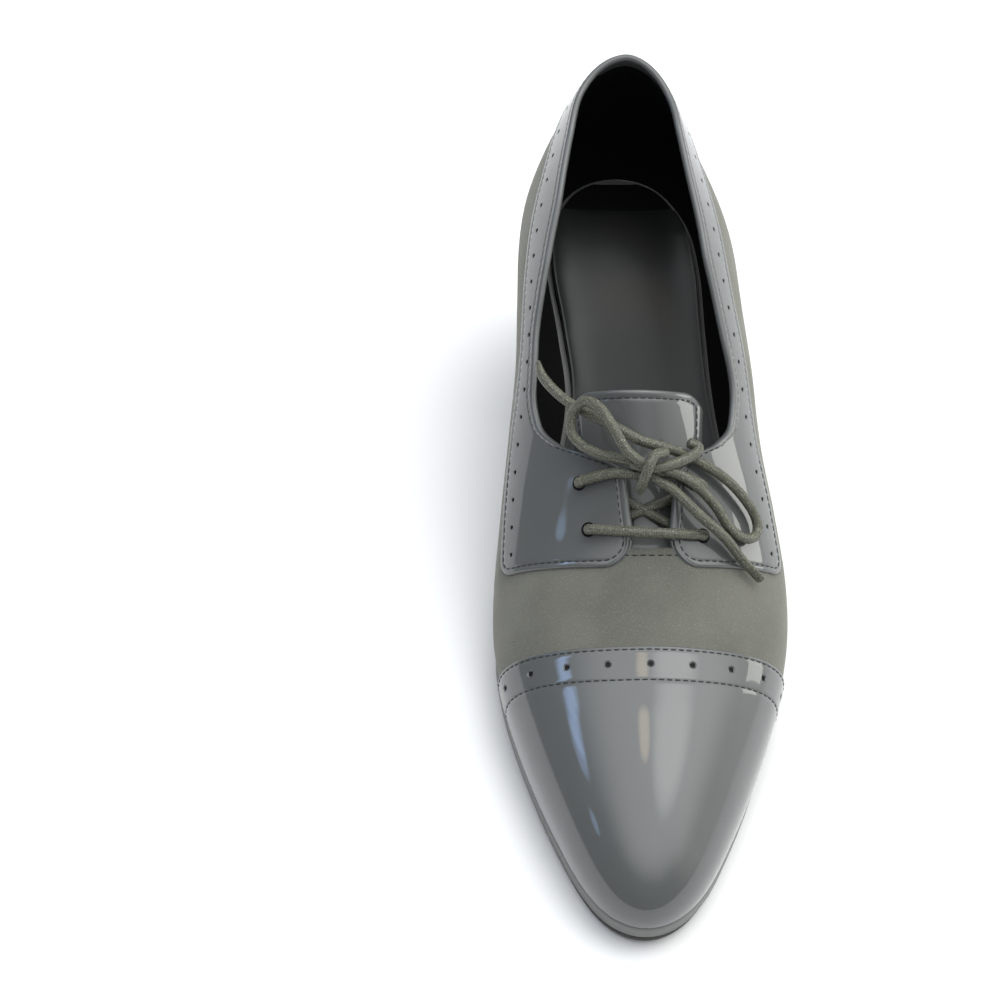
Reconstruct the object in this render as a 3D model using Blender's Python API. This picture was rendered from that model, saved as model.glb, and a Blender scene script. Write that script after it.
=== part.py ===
"""A heeled oxford shoe for the left foot, in metres: toe towards -Y, heel towards +Y, +X on the outer
side."""
import math

import bmesh
import bpy
import numpy as np
from mathutils import Vector

# Driving sizes
shoeLength = 0.254
ballWidth = 0.088
heelHeight = 0.060
instepHeight = 0.050
toeSpring = 0.0022
outsoleThick = 0.0025
midsoleThick = 0.0065
soleMargin = 0.0008
backBulge = 0.0030
upperWall = 0.0018
seam = 0.0003

capStep = 0.0008
facingStep = 0.0009
stepSlope = 0.0004

insoleThick = 0.0020
insoleDish = 0.0022
insoleClearance = 0.0006
sockBack = 0.018
sockStep = 0.0008
tongueThick = 0.0016
tongueRoom = 0.0042
laceDiameter = 0.0032
eyeletDiameter = 0.0046
eyeletBend = 0.0024

heelBreastAlong = 0.765
heelFootShare = 0.80
heelRake = 0.006
topPieceThick = 0.0060

halfBall = ballWidth / 2
forefootTop = outsoleThick + midsoleThick + 2 * seam
lastLength = shoeLength - soleMargin - backBulge
midX = 0.062 * halfBall
midY = shoeLength / 2 + 0.0003

# Sections of the last, one row for each. along: place along the foot's edge, as a share of the last's
# length. medial, lateral: half widths at the sole, as shares of half the ball's width. crown: place of
# the top point along. rise: height of the top point above the sole's edge, as a share of the instep.
# leanMedial, leanLateral: how far the wall leans out, as shares of half the ball's width. wall, top:
# fullness at the sole and at the top. shift: sideways place of the top point, as a share of half the
# ball's width.
sectionColumns = (
    "along", "medial", "lateral", "crown", "rise", "leanMedial", "leanLateral", "wall", "shift", "top",
)
sections = (
    (0.00, 0.00, 0.00, 0.000, 0.00, 0.00, 0.00, 0.56, 0.000, 0.56),
    (0.02, 0.25, 0.26, 0.018, 0.20, 0.00, 0.00, 0.56, 0.005, 0.56),
    (0.05, 0.375, 0.40, 0.045, 0.31, 0.02, 0.02, 0.56, 0.010, 0.56),
    (0.10, 0.51, 0.55, 0.090, 0.42, 0.05, 0.05, 0.56, 0.020, 0.56),
    (0.16, 0.645, 0.70, 0.144, 0.51, 0.07, 0.08, 0.56, 0.035, 0.56),
    (0.23, 0.775, 0.845, 0.204, 0.58, 0.09, 0.13, 0.56, 0.050, 0.56),
    (0.30, 0.87, 0.95, 0.262, 0.635, 0.13, 0.21, 0.56, 0.060, 0.56),
    (0.37, 0.91, 1.00, 0.320, 0.715, 0.20, 0.29, 0.56, 0.065, 0.56),
    (0.44, 0.85, 0.98, 0.380, 0.82, 0.355, 0.375, 0.55, 0.060, 0.55),
    (0.52, 0.68, 0.89, 0.441, 0.92, 0.65, 0.455, 0.53, 0.045, 0.53),
    (0.60, 0.52, 0.76, 0.501, 1.00, 0.88, 0.56, 0.50, 0.020, 0.47),
    (0.68, 0.43, 0.67, 0.560, 1.08, 0.95, 0.665, 0.46, -0.010, 0.40),
    (0.76, 0.48, 0.63, 0.620, 1.14, 0.82, 0.645, 0.42, -0.030, 0.31),
    (0.84, 0.55, 0.61, 0.680, 1.22, 0.65, 0.60, 0.38, -0.035, 0.22),
    (0.91, 0.54, 0.55, 0.735, 1.38, 0.56, 0.50, 0.36, -0.030, 0.18),
    (0.96, 0.42, 0.41, 0.795, 1.68, 0.54, 0.44, 0.34, -0.020, 0.24),
    (1.00, 0.00, 0.00, 0.820, 2.00, 0.38, 0.38, 0.34, -0.010, 0.36),
)
# Rise of the sole's edge from the ball to the heel seat, as shares of the last's length and of the heel's
# height.
# Columns: along, rise.
seat = (
    (0.00, 0.000),
    (0.36, 0.000),
    (0.41, 0.015),
    (0.46, 0.055),
    (0.54, 0.190),
    (0.62, 0.385),
    (0.70, 0.585),
    (0.78, 0.755),
    (0.86, 0.875),
    (0.94, 0.955),
    (1.00, 1.000),
)
springEnd = 0.22
# Edge of the throat and topline, and lower edge of the facing and collar band: how far up each side's
# section it lies.
toplineColumns = ("along", "medial", "lateral")
topline = (
    (0.45, 0.930, 0.893),
    (0.51, 0.905, 0.865),
    (0.545, 0.885, 0.838),
    (0.556, 0.855, 0.812),
    (0.568, 0.740, 0.755),
    (0.582, 0.610, 0.640),
    (0.605, 0.520, 0.545),
    (0.650, 0.475, 0.508),
    (0.705, 0.472, 0.527),
    (0.760, 0.492, 0.540),
    (0.820, 0.520, 0.560),
    (0.880, 0.545, 0.563),
    (0.930, 0.535, 0.550),
    (0.965, 0.492, 0.500),
    (1.000, 0.452, 0.452),
)
bandLineColumns = ("along", "medial", "lateral")
bandLine = (
    (0.00, 0.33, 0.34),
    (0.47, 0.330, 0.350),
    (0.56, 0.345, 0.375),
    (0.64, 0.370, 0.400),
    (0.71, 0.384, 0.416),
    (0.79, 0.388, 0.436),
    (0.85, 0.404, 0.448),
    (0.90, 0.424, 0.444),
    (0.95, 0.410, 0.415),
    (1.00, 0.360, 0.360),
)
# Thickness of the midsole along the foot, as a share of its thickness at the toe.
# Columns: along, thick.
midsoleTable = (
    (0.00, 1.00),
    (0.38, 1.00),
    (0.46, 0.86),
    (0.56, 0.60),
    (0.66, 0.52),
    (1.00, 0.52),
)
# Profile of a sole's edge from its top down. inset: in from its outline. drop: share of its thickness.
# Columns: inset, drop.
midsoleEdge = (
    (0.0010, 0.00),
    (0.0002, 0.10),
    (0.0000, 0.22),
    (0.0000, 0.78),
    (0.0004, 0.92),
    (0.0012, 1.00),
)
outsoleEdge = (
    (0.0012, 0.00),
    (0.0007, 0.20),
    (0.0007, 0.75),
    (0.0014, 1.00),
)
# Profile of the heel from its top to its foot: how far its outline has drawn in, and how far it has raked
# forward.
# Columns: down, drawn, raked.
heelTable = (
    (0.00, 0.00, 0.00),
    (0.14, 0.16, 0.10),
    (0.34, 0.46, 0.36),
    (0.62, 0.80, 0.70),
    (1.00, 1.00, 1.00),
)
# Lace routes over the upper. turn: place along. across: distance from the crown as a share of the
# section, negative on the inner side. off: height of the lace's middle above the surface, in lace
# diameters.
# Columns: turn, across, off.
eyelets = {
    "medialUpper": (0.5232, -0.284),
    "medialLower": (0.4875, -0.239),
    "lateralLower": (0.4825, 0.232),
    "lateralUpper": (0.5195, 0.252),
}
underFirst = ((0.5130, -0.150, -1.28), (0.5030, 0.000, -1.28), (0.4925, 0.130, -1.28))
underSecond = ((0.4960, -0.130, -1.28), (0.5040, 0.020, -1.28), (0.5120, 0.150, -1.28))
barOver = ((0.4840, 0.100, 1.06), (0.4850, 0.010, 1.06), (0.4860, -0.090, 1.06))
strandMedial = ((0.5290, -0.190, 1.02), (0.5315, -0.130, 1.04), (0.5310, -0.075, 1.10))
strandLateral = ((0.5260, 0.190, 1.05), (0.5290, 0.145, 1.05), (0.5305, 0.105, 1.10))
laceRoutes = {
    "lace_loop_medial": (
        (0.5382, 0.002, 2.44),
        (0.5430, -0.035, 2.46),
        (0.5513, -0.078, 2.50),
        (0.5666, -0.124, 2.45),
        (0.5793, -0.177, 2.30),
        (0.5835, -0.239, 2.00),
        (0.5752, -0.292, 1.70),
        (0.5615, -0.301, 1.45),
        (0.5520, -0.266, 1.30),
        (0.5450, -0.195, 1.20),
        (0.5430, -0.135, 1.15),
        (0.5425, -0.080, 1.15),
    ),
    "lace_end_medial": (
        (0.6190, -0.455, 1.05),
        (0.6023, -0.390, 1.00),
        (0.5895, -0.320, 0.75),
        (0.5790, -0.235, 0.60),
        (0.5700, -0.160, 0.85),
        (0.5630, -0.075, 1.15),
        (0.5570, 0.015, 1.15),
        (0.5520, 0.095, 1.10),
        (0.5470, 0.155, 1.06),
    ),
    "lace_loop_lateral": (
        (0.5470, 0.155, 1.06),
        (0.5380, 0.230, 1.10),
        (0.5283, 0.300, 1.30),
        (0.5156, 0.372, 1.35),
        (0.5028, 0.434, 1.20),
        (0.4926, 0.463, 1.05),
        (0.4840, 0.425, 1.05),
        (0.4870, 0.354, 1.20),
        (0.5000, 0.288, 1.60),
        (0.5130, 0.230, 2.15),
        (0.5240, 0.180, 2.35),
    ),
    "lace_end_lateral": (
        (0.5240, 0.052, 1.25),
        (0.5195, 0.094, 1.55),
        (0.5105, 0.138, 1.90),
        (0.4977, 0.186, 2.30),
        (0.4875, 0.232, 2.35),
        (0.4773, 0.301, 1.50),
        (0.4620, 0.372, 1.05),
        (0.4480, 0.455, 0.95),
    ),
    "lace_knot_band": (
        (0.5360, 0.062, 2.15),
        (0.5370, 0.110, 2.22),
        (0.5425, 0.155, 2.20),
        (0.5500, 0.185, 2.10),
        (0.5575, 0.175, 1.70),
    ),
    "lace_knot_wrap": (
        (0.5470, 0.075, 2.45),
        (0.5455, 0.030, 3.20),
        (0.5385, 0.010, 3.55),
        (0.5290, -0.006, 3.20),
        (0.5215, -0.020, 2.20),
        (0.5185, -0.028, 1.35),
    ),
}
tongueStart = 0.445
tongueEnd = 0.592
tongueLow = 0.448
tongueHigh = 0.474
tongueFoot = 0.292
tongueHead = 0.410
tongueCorner = 0.018
tongueFlat = 0.52
capLine = 0.3905
capBow = {"medial": 0.0150, "lateral": 0.0250}
capReach = 0.060
facingLine = 0.457
facingCorner = 0.026
throatCorner = 0.014
cornerReach = 0.045


def turnOf(along):
    """The angle, as a share of half a turn, at which a row lies: it spaces rows closely at toe and
    heel."""
    return math.acos(1 - 2 * along) / math.pi


def alongOf(turn):
    return (1 - math.cos(math.pi * turn)) / 2


class Profile:
    """A smooth curve through a table's column. Its ends are mirrored, turned over where oddStart or
    oddEnd is set."""

    def __init__(self, places, values, oddStart=False, oddEnd=False, steady=False):
        startSign = -1 if oddStart else 1
        endSign = -1 if oddEnd else 1
        first, last = places[0], places[-1]
        self.places = [2 * first - places[1], *places, 2 * last - places[-2]]
        self.values = [startSign * values[1], *values, endSign * values[-2]]
        gaps = np.diff(self.places)
        grades = np.diff(self.values) / gaps
        inner = (grades[:-1] * gaps[1:] + grades[1:] * gaps[:-1]) / (gaps[:-1] + gaps[1:])
        if steady:
            product = grades[:-1] * grades[1:]
            total = grades[:-1] + grades[1:]
            inner = np.where(product > 0, 2 * product / np.where(total == 0, 1, total), 0)
        self.grades = np.concatenate([[0], inner, [0]])

    def __call__(self, place):
        place = min(max(place, self.places[1]), self.places[-2])
        i = int(np.searchsorted(self.places, place, side="right")) - 1
        i = min(max(i, 1), len(self.places) - 3)
        gap = self.places[i + 1] - self.places[i]
        s = (place - self.places[i]) / gap
        near = (1 + 2 * s) * (1 - s) ** 2 * self.values[i] + s * (1 - s) ** 2 * gap * self.grades[i]
        far = s * s * (3 - 2 * s) * self.values[i + 1] - s * s * (1 - s) * gap * self.grades[i + 1]
        return near + far


def profilesOf(table, columns, odd=(), oddStart=(), steady=False):
    """One profile for each column after the first, over the rows' turns."""
    turns = [turnOf(row[0]) for row in table]
    found = {}
    for index, name in enumerate(columns[1:], 1):
        values = [row[index] for row in table]
        found[name] = Profile(turns, values, name in odd or name in oddStart, name in odd, steady)
    return found


section = profilesOf(sections, sectionColumns, odd=("medial", "lateral"), oddStart=("rise",))
seatRise = Profile([row[0] for row in seat], [row[1] for row in seat], steady=True)
midsoleShare = Profile([row[0] for row in midsoleTable], [row[1] for row in midsoleTable], steady=True)
toplineOf = profilesOf(topline, toplineColumns, steady=True)
bandLineOf = profilesOf(bandLine, bandLineColumns)


def seatHeight(along):
    """Height of the line where the upper meets the sole."""
    spring = toeSpring * max(1 - along / springEnd, 0) ** 2
    return forefootTop + spring + (heelHeight - forefootTop) * seatRise(along)


def sideName(side):
    return "medial" if side < 0 else "lateral"


def featherPoint(turn, side):
    """The point on the upper's lower edge."""
    along = alongOf(turn)
    half = section[sideName(side)](turn) * halfBall
    return np.array([side * half - midX, soleMargin + along * lastLength - midY, seatHeight(along)])


def lastPoint(turn, up, side):
    """A point on the last: turn runs from the toe to the heel, up from the sole (0) to the crown (1)."""
    along = alongOf(turn)
    low = featherPoint(turn, side)
    rise = section["rise"](turn) * instepHeight
    across = section["shift"](turn) * halfBall - midX
    high = np.array([across, soleMargin + section["crown"](turn) * lastLength - midY, low[2] + rise])
    heelTurn = math.pi / 2 * min(max((along - 0.80) / 0.20, 0), 1) ** 1.5
    outward = np.array([side * math.cos(heelTurn), math.sin(heelTurn), 0])
    reach = math.hypot(low[0] - high[0], (low[1] - high[1]) * math.sin(heelTurn))
    lean = section["leanMedial" if side < 0 else "leanLateral"](turn) * halfBall
    lowHandle = low + np.array([0, 0, section["wall"](turn) * rise]) + outward * lean
    highHandle = high + outward * section["top"](turn) * reach
    down = 1 - up
    return low * down**3 + 3 * lowHandle * up * down**2 + 3 * highHandle * up * up * down + high * up**3


def outwardNormal(turn, up, side):
    step = 0.002
    turn = min(max(turn, 3 * step), 1 - step)
    up = min(max(up, step), 1 - step)
    forward = lastPoint(turn + step, up, side) - lastPoint(turn - step, up, side)
    upward = lastPoint(turn, up + step, side) - lastPoint(turn, up - step, side)
    normal = np.cross(forward, upward) * side
    return normal / np.linalg.norm(normal)


def skinPoint(turn, up, side, lift):
    """A point off the last's surface by lift. On the shoe's middle line it stays on that line."""
    normal = outwardNormal(turn, up, side)
    if up >= 1 or turn >= 1 or turn <= 0:
        normal[0] = 0
        normal /= np.linalg.norm(normal)
    point = lastPoint(turn, up, side) + normal * lift
    if up <= 0:
        point[2] = seatHeight(alongOf(turn))
    return point


def spread(start, end, count):
    """count values from start towards end, without the end."""
    return [start + (end - start) * i / count for i in range(count)]


def closedSheet(outer, inner, faces):
    """A solid sheet from its outer points, its inner points and the outer faces: its open edges get a
    rim."""
    count = len(outer)
    edges = {}
    for face in faces:
        for a, b in zip(face, face[1:] + face[:1]):
            edges[(a, b)] = True
    rim = [(b, a, a + count, b + count) for a, b in edges if (b, a) not in edges]
    back = [tuple(v + count for v in reversed(face)) for face in faces]
    return list(outer) + list(inner), [tuple(face) for face in faces] + back + rim


def meshObject(name, points, faces, material):
    mesh = bpy.data.meshes.new(name)
    mesh.from_pydata([tuple(map(float, point)) for point in points], [], faces)
    mesh.validate()
    mesh.shade_smooth()
    mesh.set_sharp_from_angle(angle=math.radians(35))
    made = bpy.data.objects.new(name, mesh)
    mesh.materials.append(material)
    bpy.context.scene.collection.objects.link(made)
    return made


def finish(name, colour, roughness, metallic=0.0, coat=0.0):
    material = bpy.data.materials.new(name)
    material.use_nodes = True
    shader = material.node_tree.nodes["Principled BSDF"]
    shader.inputs["Base Color"].default_value = (*colour, 1)
    shader.inputs["Roughness"].default_value = roughness
    shader.inputs["Metallic"].default_value = metallic
    shader.inputs["Coat Weight"].default_value = coat
    material.diffuse_color = (*colour, 1)
    return material


def bell(distance, reach):
    return max(1 - (distance / reach) ** 2, 0) ** 2


def columnTurn(turn, up, side):
    """The cap's and the facings' edges curve across the last, and the columns near them follow."""
    cap = -capBow[sideName(side)] * (1 - up) ** 1.5 * bell(turn - capLine, capReach)
    outerCorner = facingCorner * max((0.50 - up) / 0.16, 0) ** 2
    innerCorner = throatCorner * max((up - 0.80) / 0.10, 0) ** 2
    corner = min(outerCorner + innerCorner, facingCorner)
    return turn + cap + corner * bell(turn - facingLine, cornerReach)


def upperColumns():
    """Turns of the upper's columns: pairs stand either side of the cap's and of the facings' front
    edge."""
    half = stepSlope / lastLength / 2
    turns = spread(0, capLine - half, 10) + [capLine - half]
    capEnd = len(turns)
    turns += spread(capLine + half, facingLine - half, 2) + [facingLine - half]
    facingStart = len(turns)
    turns += spread(facingLine + half, turnOf(topline[2][0]), 4)
    turns += spread(turnOf(topline[2][0]), turnOf(topline[6][0]), 6)
    turns += spread(turnOf(topline[6][0]), 1, 15) + [1.0]
    return turns, capEnd, facingStart


def upperRows(turn, side):
    """Heights of the upper's rows on one side: up to the band's edge, then to the topline, then to the
    crown."""
    band = bandLineOf[sideName(side)](turn)
    edge = toplineOf[sideName(side)](turn)
    half = stepSlope / instepHeight / 3
    below = spread(0, band - half, 5) + [band - half]
    above = spread(band + half, edge, 5) + [edge]
    return below, above, spread(edge, 1, 2)[1:] + [1.0]


def makeUpper(material):
    turns, capEnd, facingStart = upperColumns()
    places, outer, inner, faces = {}, [], [], []

    def vertex(side, i, j, rows, bandRow):
        up = rows[j]
        turn = turns[i]
        if i == 0:
            key = "toe"
        elif j == len(rows) - 1 and up >= 1:
            key = ("crown", i)
        elif i == len(turns) - 1:
            key = ("back", j)
        else:
            key = (side, i, j)
        if key not in places:
            bent = columnTurn(turn, up, side) if 0 < turn < 1 else turn
            lift = capStep if i < capEnd else 0
            if i >= facingStart and j > bandRow:
                lift = facingStep
            places[key] = len(outer)
            outer.append(skinPoint(bent, up, side, lift))
            inner.append(skinPoint(bent, up, side, -upperWall))
        return places[key]

    for side in (-1, 1):
        for i in range(len(turns) - 1):
            levels = []
            for turn in (turns[i], turns[i + 1]):
                below, above, crown = upperRows(turn, side)
                levels.append(below + above + crown)
            closed = i + 1 < facingStart
            last = len(below) + len(above) + (len(crown) if closed else 0)
            for j in range(last - 1):
                corners = [
                    vertex(side, i, j, levels[0], len(below) - 1),
                    vertex(side, i + 1, j, levels[1], len(below) - 1),
                    vertex(side, i + 1, j + 1, levels[1], len(below) - 1),
                    vertex(side, i, j + 1, levels[0], len(below) - 1),
                ]
                face = [v for n, v in enumerate(corners) if v not in corners[:n]]
                if len(face) > 2:
                    faces.append(tuple(face if side > 0 else reversed(face)))
    points, allFaces = closedSheet(outer, inner, faces)
    return meshObject("upper", points, allFaces, material)


def slab(name, turns, levels, pointOf, material):
    """A solid between its two sides' outlines: levels of points from top to bottom, joined across at
    top and bottom."""
    places, points, faces = {}, [], []

    def vertex(side, i, j):
        pole = turns[i] <= 0 or turns[i] >= 1
        key = (0 if pole else side, i, j)
        if key not in places:
            places[key] = len(points)
            points.append(pointOf(turns[i], side, levels[j]))
        return places[key]

    def face(corners, turned):
        kept = [v for n, v in enumerate(corners) if v not in corners[:n]]
        if len(kept) > 2:
            faces.append(tuple(reversed(kept)) if turned else tuple(kept))

    last = len(levels) - 1
    for i in range(len(turns) - 1):
        for side in (-1, 1):
            for j in range(last):
                near = [vertex(side, i, j), vertex(side, i, j + 1)]
                corners = near + [vertex(side, i + 1, j + 1), vertex(side, i + 1, j)]
                face(corners, side < 0)
        for j in (0, last):
            corners = [vertex(-1, i, j), vertex(1, i, j), vertex(1, i + 1, j), vertex(-1, i + 1, j)]
            face(corners, j == last)
    for i in (0, len(turns) - 1):
        if 0 < turns[i] < 1:
            for j in range(last):
                corners = [vertex(-1, i, j), vertex(-1, i, j + 1), vertex(1, i, j + 1), vertex(1, i, j)]
                face(corners, i > 0)
    return meshObject(name, points, faces, material)


def outlinePoint(turn, side, inset):
    """A point of the sole's outline in plan: the upper's lower edge moved out by the margin and in by
    the inset."""
    step = 0.004
    ahead = featherPoint(min(turn + step, 1), side)
    behind = featherPoint(max(turn - step, 0), side)
    along = ahead - behind
    outward = np.array([along[1] * side, -along[0] * side, 0])
    if turn <= 0 or turn >= 1:
        outward[0] = 0
    outward /= np.linalg.norm(outward)
    return featherPoint(turn, side) + outward * (soleMargin - inset)


def midsoleTop(turn):
    return seatHeight(alongOf(turn)) - seam


def midsoleBottom(turn):
    return midsoleTop(turn) - midsoleThick * midsoleShare(alongOf(turn))


def makeMidsole(material):
    def pointOf(turn, side, level):
        inset, drop = level
        point = outlinePoint(turn, side, inset)
        point[2] = midsoleTop(turn) + drop * (midsoleBottom(turn) - midsoleTop(turn))
        return point

    turns = spread(0, 1, 40) + [1.0]
    return slab("midsole", turns, midsoleEdge, pointOf, material)


def makeOutsole(material):
    def pointOf(turn, side, level):
        inset, drop = level
        point = outlinePoint(turn, side, inset)
        point[2] = midsoleBottom(turn) - seam - drop * outsoleThick
        return point

    end = turnOf(heelBreastAlong) - seam * 4
    turns = spread(0, end, 28) + [end]
    return slab("outsole", turns, outsoleEdge, pointOf, material)


def heelOutline(turn, side, drawn, raked):
    """The heel's outline in plan, drawn in towards its middle and raked forward."""
    edge = outlinePoint(turn, side, midsoleEdge[-1][0])
    back = outlinePoint(1, 1, 0)
    breast = outlinePoint(turnOf(heelBreastAlong), 1, 0)
    middle = np.array([-midX, (back[1] + breast[1]) / 2, 0])
    share = 1 - drawn * (1 - heelFootShare)
    point = middle + (edge - middle) * share
    point[1] -= raked * heelRake
    return point


def makeHeel(material):
    foot = topPieceThick + seam

    def pointOf(turn, side, level):
        down, drawn, raked = level
        point = heelOutline(turn, side, drawn, raked)
        top = midsoleBottom(turn) - seam
        point[2] = top + down * (foot - top)
        return point

    start = turnOf(heelBreastAlong)
    turns = spread(start, 1, 14) + [1.0]
    return slab("heel", turns, heelTable, pointOf, material)


def makeTopPiece(material):
    def pointOf(turn, side, height):
        point = heelOutline(turn, side, heelTable[-1][1], heelTable[-1][2])
        point[2] = height
        return point

    start = turnOf(heelBreastAlong)
    turns = spread(start, 1, 14) + [1.0]
    return slab("heel_top_piece", turns, (topPieceThick, 0.0), pointOf, material)


def gridSheet(name, columns, rows, outerOf, innerOf, material):
    """A closed sheet from a grid: outerOf and innerOf give the point at a column and a row."""
    outer = [outerOf(column, row) for column in columns for row in rows]
    inner = [innerOf(column, row) for column in columns for row in rows]
    faces = []
    width = len(rows)
    for i in range(len(columns) - 1):
        for j in range(width - 1):
            low = i * width + j
            faces.append((low, low + width, low + width + 1, low + 1))
    points, allFaces = closedSheet(outer, inner, faces)
    return meshObject(name, points, allFaces, material)


def makeInsole(material):
    sockAlong = (shoeLength - sockBack - soleMargin) / lastLength
    half = stepSlope / lastLength
    first = turnOf(0.035)
    sockEnd = turnOf(sockAlong)
    turns = spread(first, sockEnd - half, 26) + [sockEnd - half]
    turns += spread(sockEnd + half, turnOf(0.990), 3) + [turnOf(0.990)]
    across = [-1.0, -0.93, -0.82, -0.62, -0.36, 0.0, 0.36, 0.62, 0.82, 0.93, 1.0]
    inset = soleMargin + upperWall + insoleClearance

    def plan(turn, place):
        low = outlinePoint(turn, -1, inset)
        high = outlinePoint(turn, 1, inset)
        return low + (high - low) * (1 + place) / 2

    def dish(turn, place):
        along = alongOf(turn)
        reach = min(max((along - 0.10) / 0.25, 0), 1) * min(max((1 - along) / 0.10, 0), 1)
        return insoleDish * abs(place) ** 5 * reach

    def topOf(turn, place):
        point = plan(turn, place)
        thick = insoleThick if turn < sockEnd else insoleThick - sockStep
        point[2] = seatHeight(alongOf(turn)) + dish(turn, place) + thick
        return point

    def bottomOf(turn, place):
        point = plan(turn, place)
        point[2] = seatHeight(alongOf(turn))
        return point

    return gridSheet("insole", turns, across[::-1], topOf, bottomOf, material)


def makeTongue(material):
    turns = spread(tongueStart, tongueEnd, 12) + [tongueEnd]
    across = [1.0, 0.9, 0.75, 0.5, 0.25, 0.0, -0.25, -0.5, -0.75, -0.9, -1.0]

    def ramp(turn, low, high):
        share = min(max((turn - low) / (high - low), 0), 1)
        return share * share * (3 - 2 * share)

    def place(turn, share, extra):
        """It starts close under the vamp, then sinks away from it and flattens into an even arch."""
        drop = upperWall + seam + tongueRoom * ramp(turn, tongueLow, tongueHigh) + extra
        end = min(max((turn - tongueHigh) / (tongueEnd - tongueHigh), 0), 1)
        bent = turn - tongueCorner * max((abs(share) - 0.72) / 0.28, 0) ** 2 * end
        wide = tongueFoot + (tongueHead - tongueFoot) * end
        side = -1 if share < 0 else 1
        bowed = skinPoint(bent, 1 - abs(share) * wide, side, -drop)
        middle = skinPoint(bent, 1, 1, -drop)
        inner = skinPoint(bent, 1 - wide, -1, -drop)
        outer = skinPoint(bent, 1 - wide, 1, -drop)
        arch = middle + (outer - inner) / 2 * share + ((outer + inner) / 2 - middle) * share**2
        return bowed + (arch - bowed) * ramp(turn, tongueHigh, tongueFlat)

    def topOf(turn, share):
        return place(turn, share, 0)

    def bottomOf(turn, share):
        return place(turn, share, tongueThick)

    return gridSheet("tongue", turns, across, topOf, bottomOf, material)


def routePoint(turn, across, off):
    side = -1 if across < 0 else 1
    return skinPoint(turn, 1 - abs(across), side, off * laceDiameter)


def smoothPath(points, spacing):
    """Points at even steps on a smooth curve through the given ones."""
    padded = [2 * points[0] - points[1], *points, 2 * points[-1] - points[-2]]
    dense = []
    for before, start, end, after in zip(padded, padded[1:], padded[2:], padded[3:]):
        for step in range(24):
            t = step / 24
            bend = (2 * before - 5 * start + 4 * end - after) * t * t
            curl = (3 * start - before - 3 * end + after) * t**3
            dense.append((2 * start + (end - before) * t + bend + curl) / 2)
    dense.append(points[-1])
    reach = np.concatenate([[0], np.cumsum([np.linalg.norm(b - a) for a, b in zip(dense, dense[1:])])])
    count = max(round(reach[-1] / spacing), 2)
    marks = np.linspace(0, reach[-1], count + 1)
    return np.stack([np.interp(marks, reach, [p[axis] for p in dense]) for axis in range(3)], axis=1)


def trimmed(path):
    """The path with its start drawn back, to leave a seam to the piece that ends there."""
    run = path[1] - path[0]
    path[0] += run / np.linalg.norm(run) * seam * 1.2
    return path


def tubeObject(name, path, material):
    curve = bpy.data.curves.new(name, "CURVE")
    curve.dimensions = "3D"
    curve.bevel_depth = laceDiameter / 2
    curve.bevel_resolution = 2
    curve.use_fill_caps = True
    spline = curve.splines.new("POLY")
    spline.points.add(len(path) - 1)
    for point, place in zip(spline.points, path):
        point.co = (*map(float, place), 1)
    curve.materials.append(material)
    made = bpy.data.objects.new(name, curve)
    bpy.context.scene.collection.objects.link(made)
    return made


def solidTube(name, path, material):
    """A tube as a closed mesh, for a Boolean."""
    tube = tubeObject(name + "_path", path, material)
    graph = bpy.context.evaluated_depsgraph_get()
    mesh = bpy.data.meshes.new_from_object(tube.evaluated_get(graph))
    bpy.data.objects.remove(tube, do_unlink=True)
    work = bmesh.new()
    work.from_mesh(mesh)
    bmesh.ops.remove_doubles(work, verts=work.verts, dist=0.00001)
    bmesh.ops.recalc_face_normals(work, faces=work.faces)
    work.to_mesh(mesh)
    work.free()
    made = bpy.data.objects.new(name, mesh)
    bpy.context.scene.collection.objects.link(made)
    return made


def eyeletFrame(name):
    turn, across = eyelets[name]
    side = -1 if across < 0 else 1
    return lastPoint(turn, 1 - abs(across), side), outwardNormal(turn, 1 - abs(across), side)


def bendThrough(name, target, height, over):
    """The lace's turn at an eyelet: from its run towards the target, at a height off the surface, onto
    the hole's axis."""
    place, normal = eyeletFrame(name)
    run = target - place
    run -= normal * np.dot(run, normal)
    run /= np.linalg.norm(run)
    sign = 1 if over else -1
    middle = place + run * eyeletBend + normal * (height - sign * eyeletBend)
    points = []
    for step in range(5):
        angle = math.pi / 2 * step / 4
        points.append(middle + (normal * sign * math.cos(angle) - run * math.sin(angle)) * eyeletBend)
    return points


def makeLaceBars(material):
    over = 1.02 * laceDiameter
    under = underFirst[0][2] * laceDiameter
    first = [routePoint(*row) for row in underFirst]
    second = [routePoint(*row) for row in underSecond]
    bar = [routePoint(*row) for row in barOver]
    startTarget = routePoint(*strandMedial[0])
    endTarget = routePoint(*strandLateral[0])
    path = bendThrough("medialUpper", startTarget, over, True)
    path += bendThrough("medialUpper", first[0], under, False)[::-1]
    path += first
    path += bendThrough("lateralLower", first[-1], under, False)
    path += bendThrough("lateralLower", bar[0], over, True)[::-1]
    path += bar
    path += bendThrough("medialLower", bar[-1], over, True)
    place, normal = eyeletFrame("medialLower")
    path.append(place + normal * under)
    crossing = [place + normal * under - (second[0] - place) * 0.25]
    crossing += second
    crossing += bendThrough("lateralUpper", second[-1], under, False)
    crossing += bendThrough("lateralUpper", endTarget, over, True)[::-1]
    main = solidTube("lace_bars", path, material)
    other = solidTube("lace_crossing", crossing, material)
    other.hide_render = True
    other.display_type = "WIRE"
    joined = main.modifiers.new("Crossing", "BOOLEAN")
    joined.operation = "UNION"
    joined.solver = "EXACT"
    joined.object = other
    ends = (path[0], crossing[-1])
    return main, ends


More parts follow.
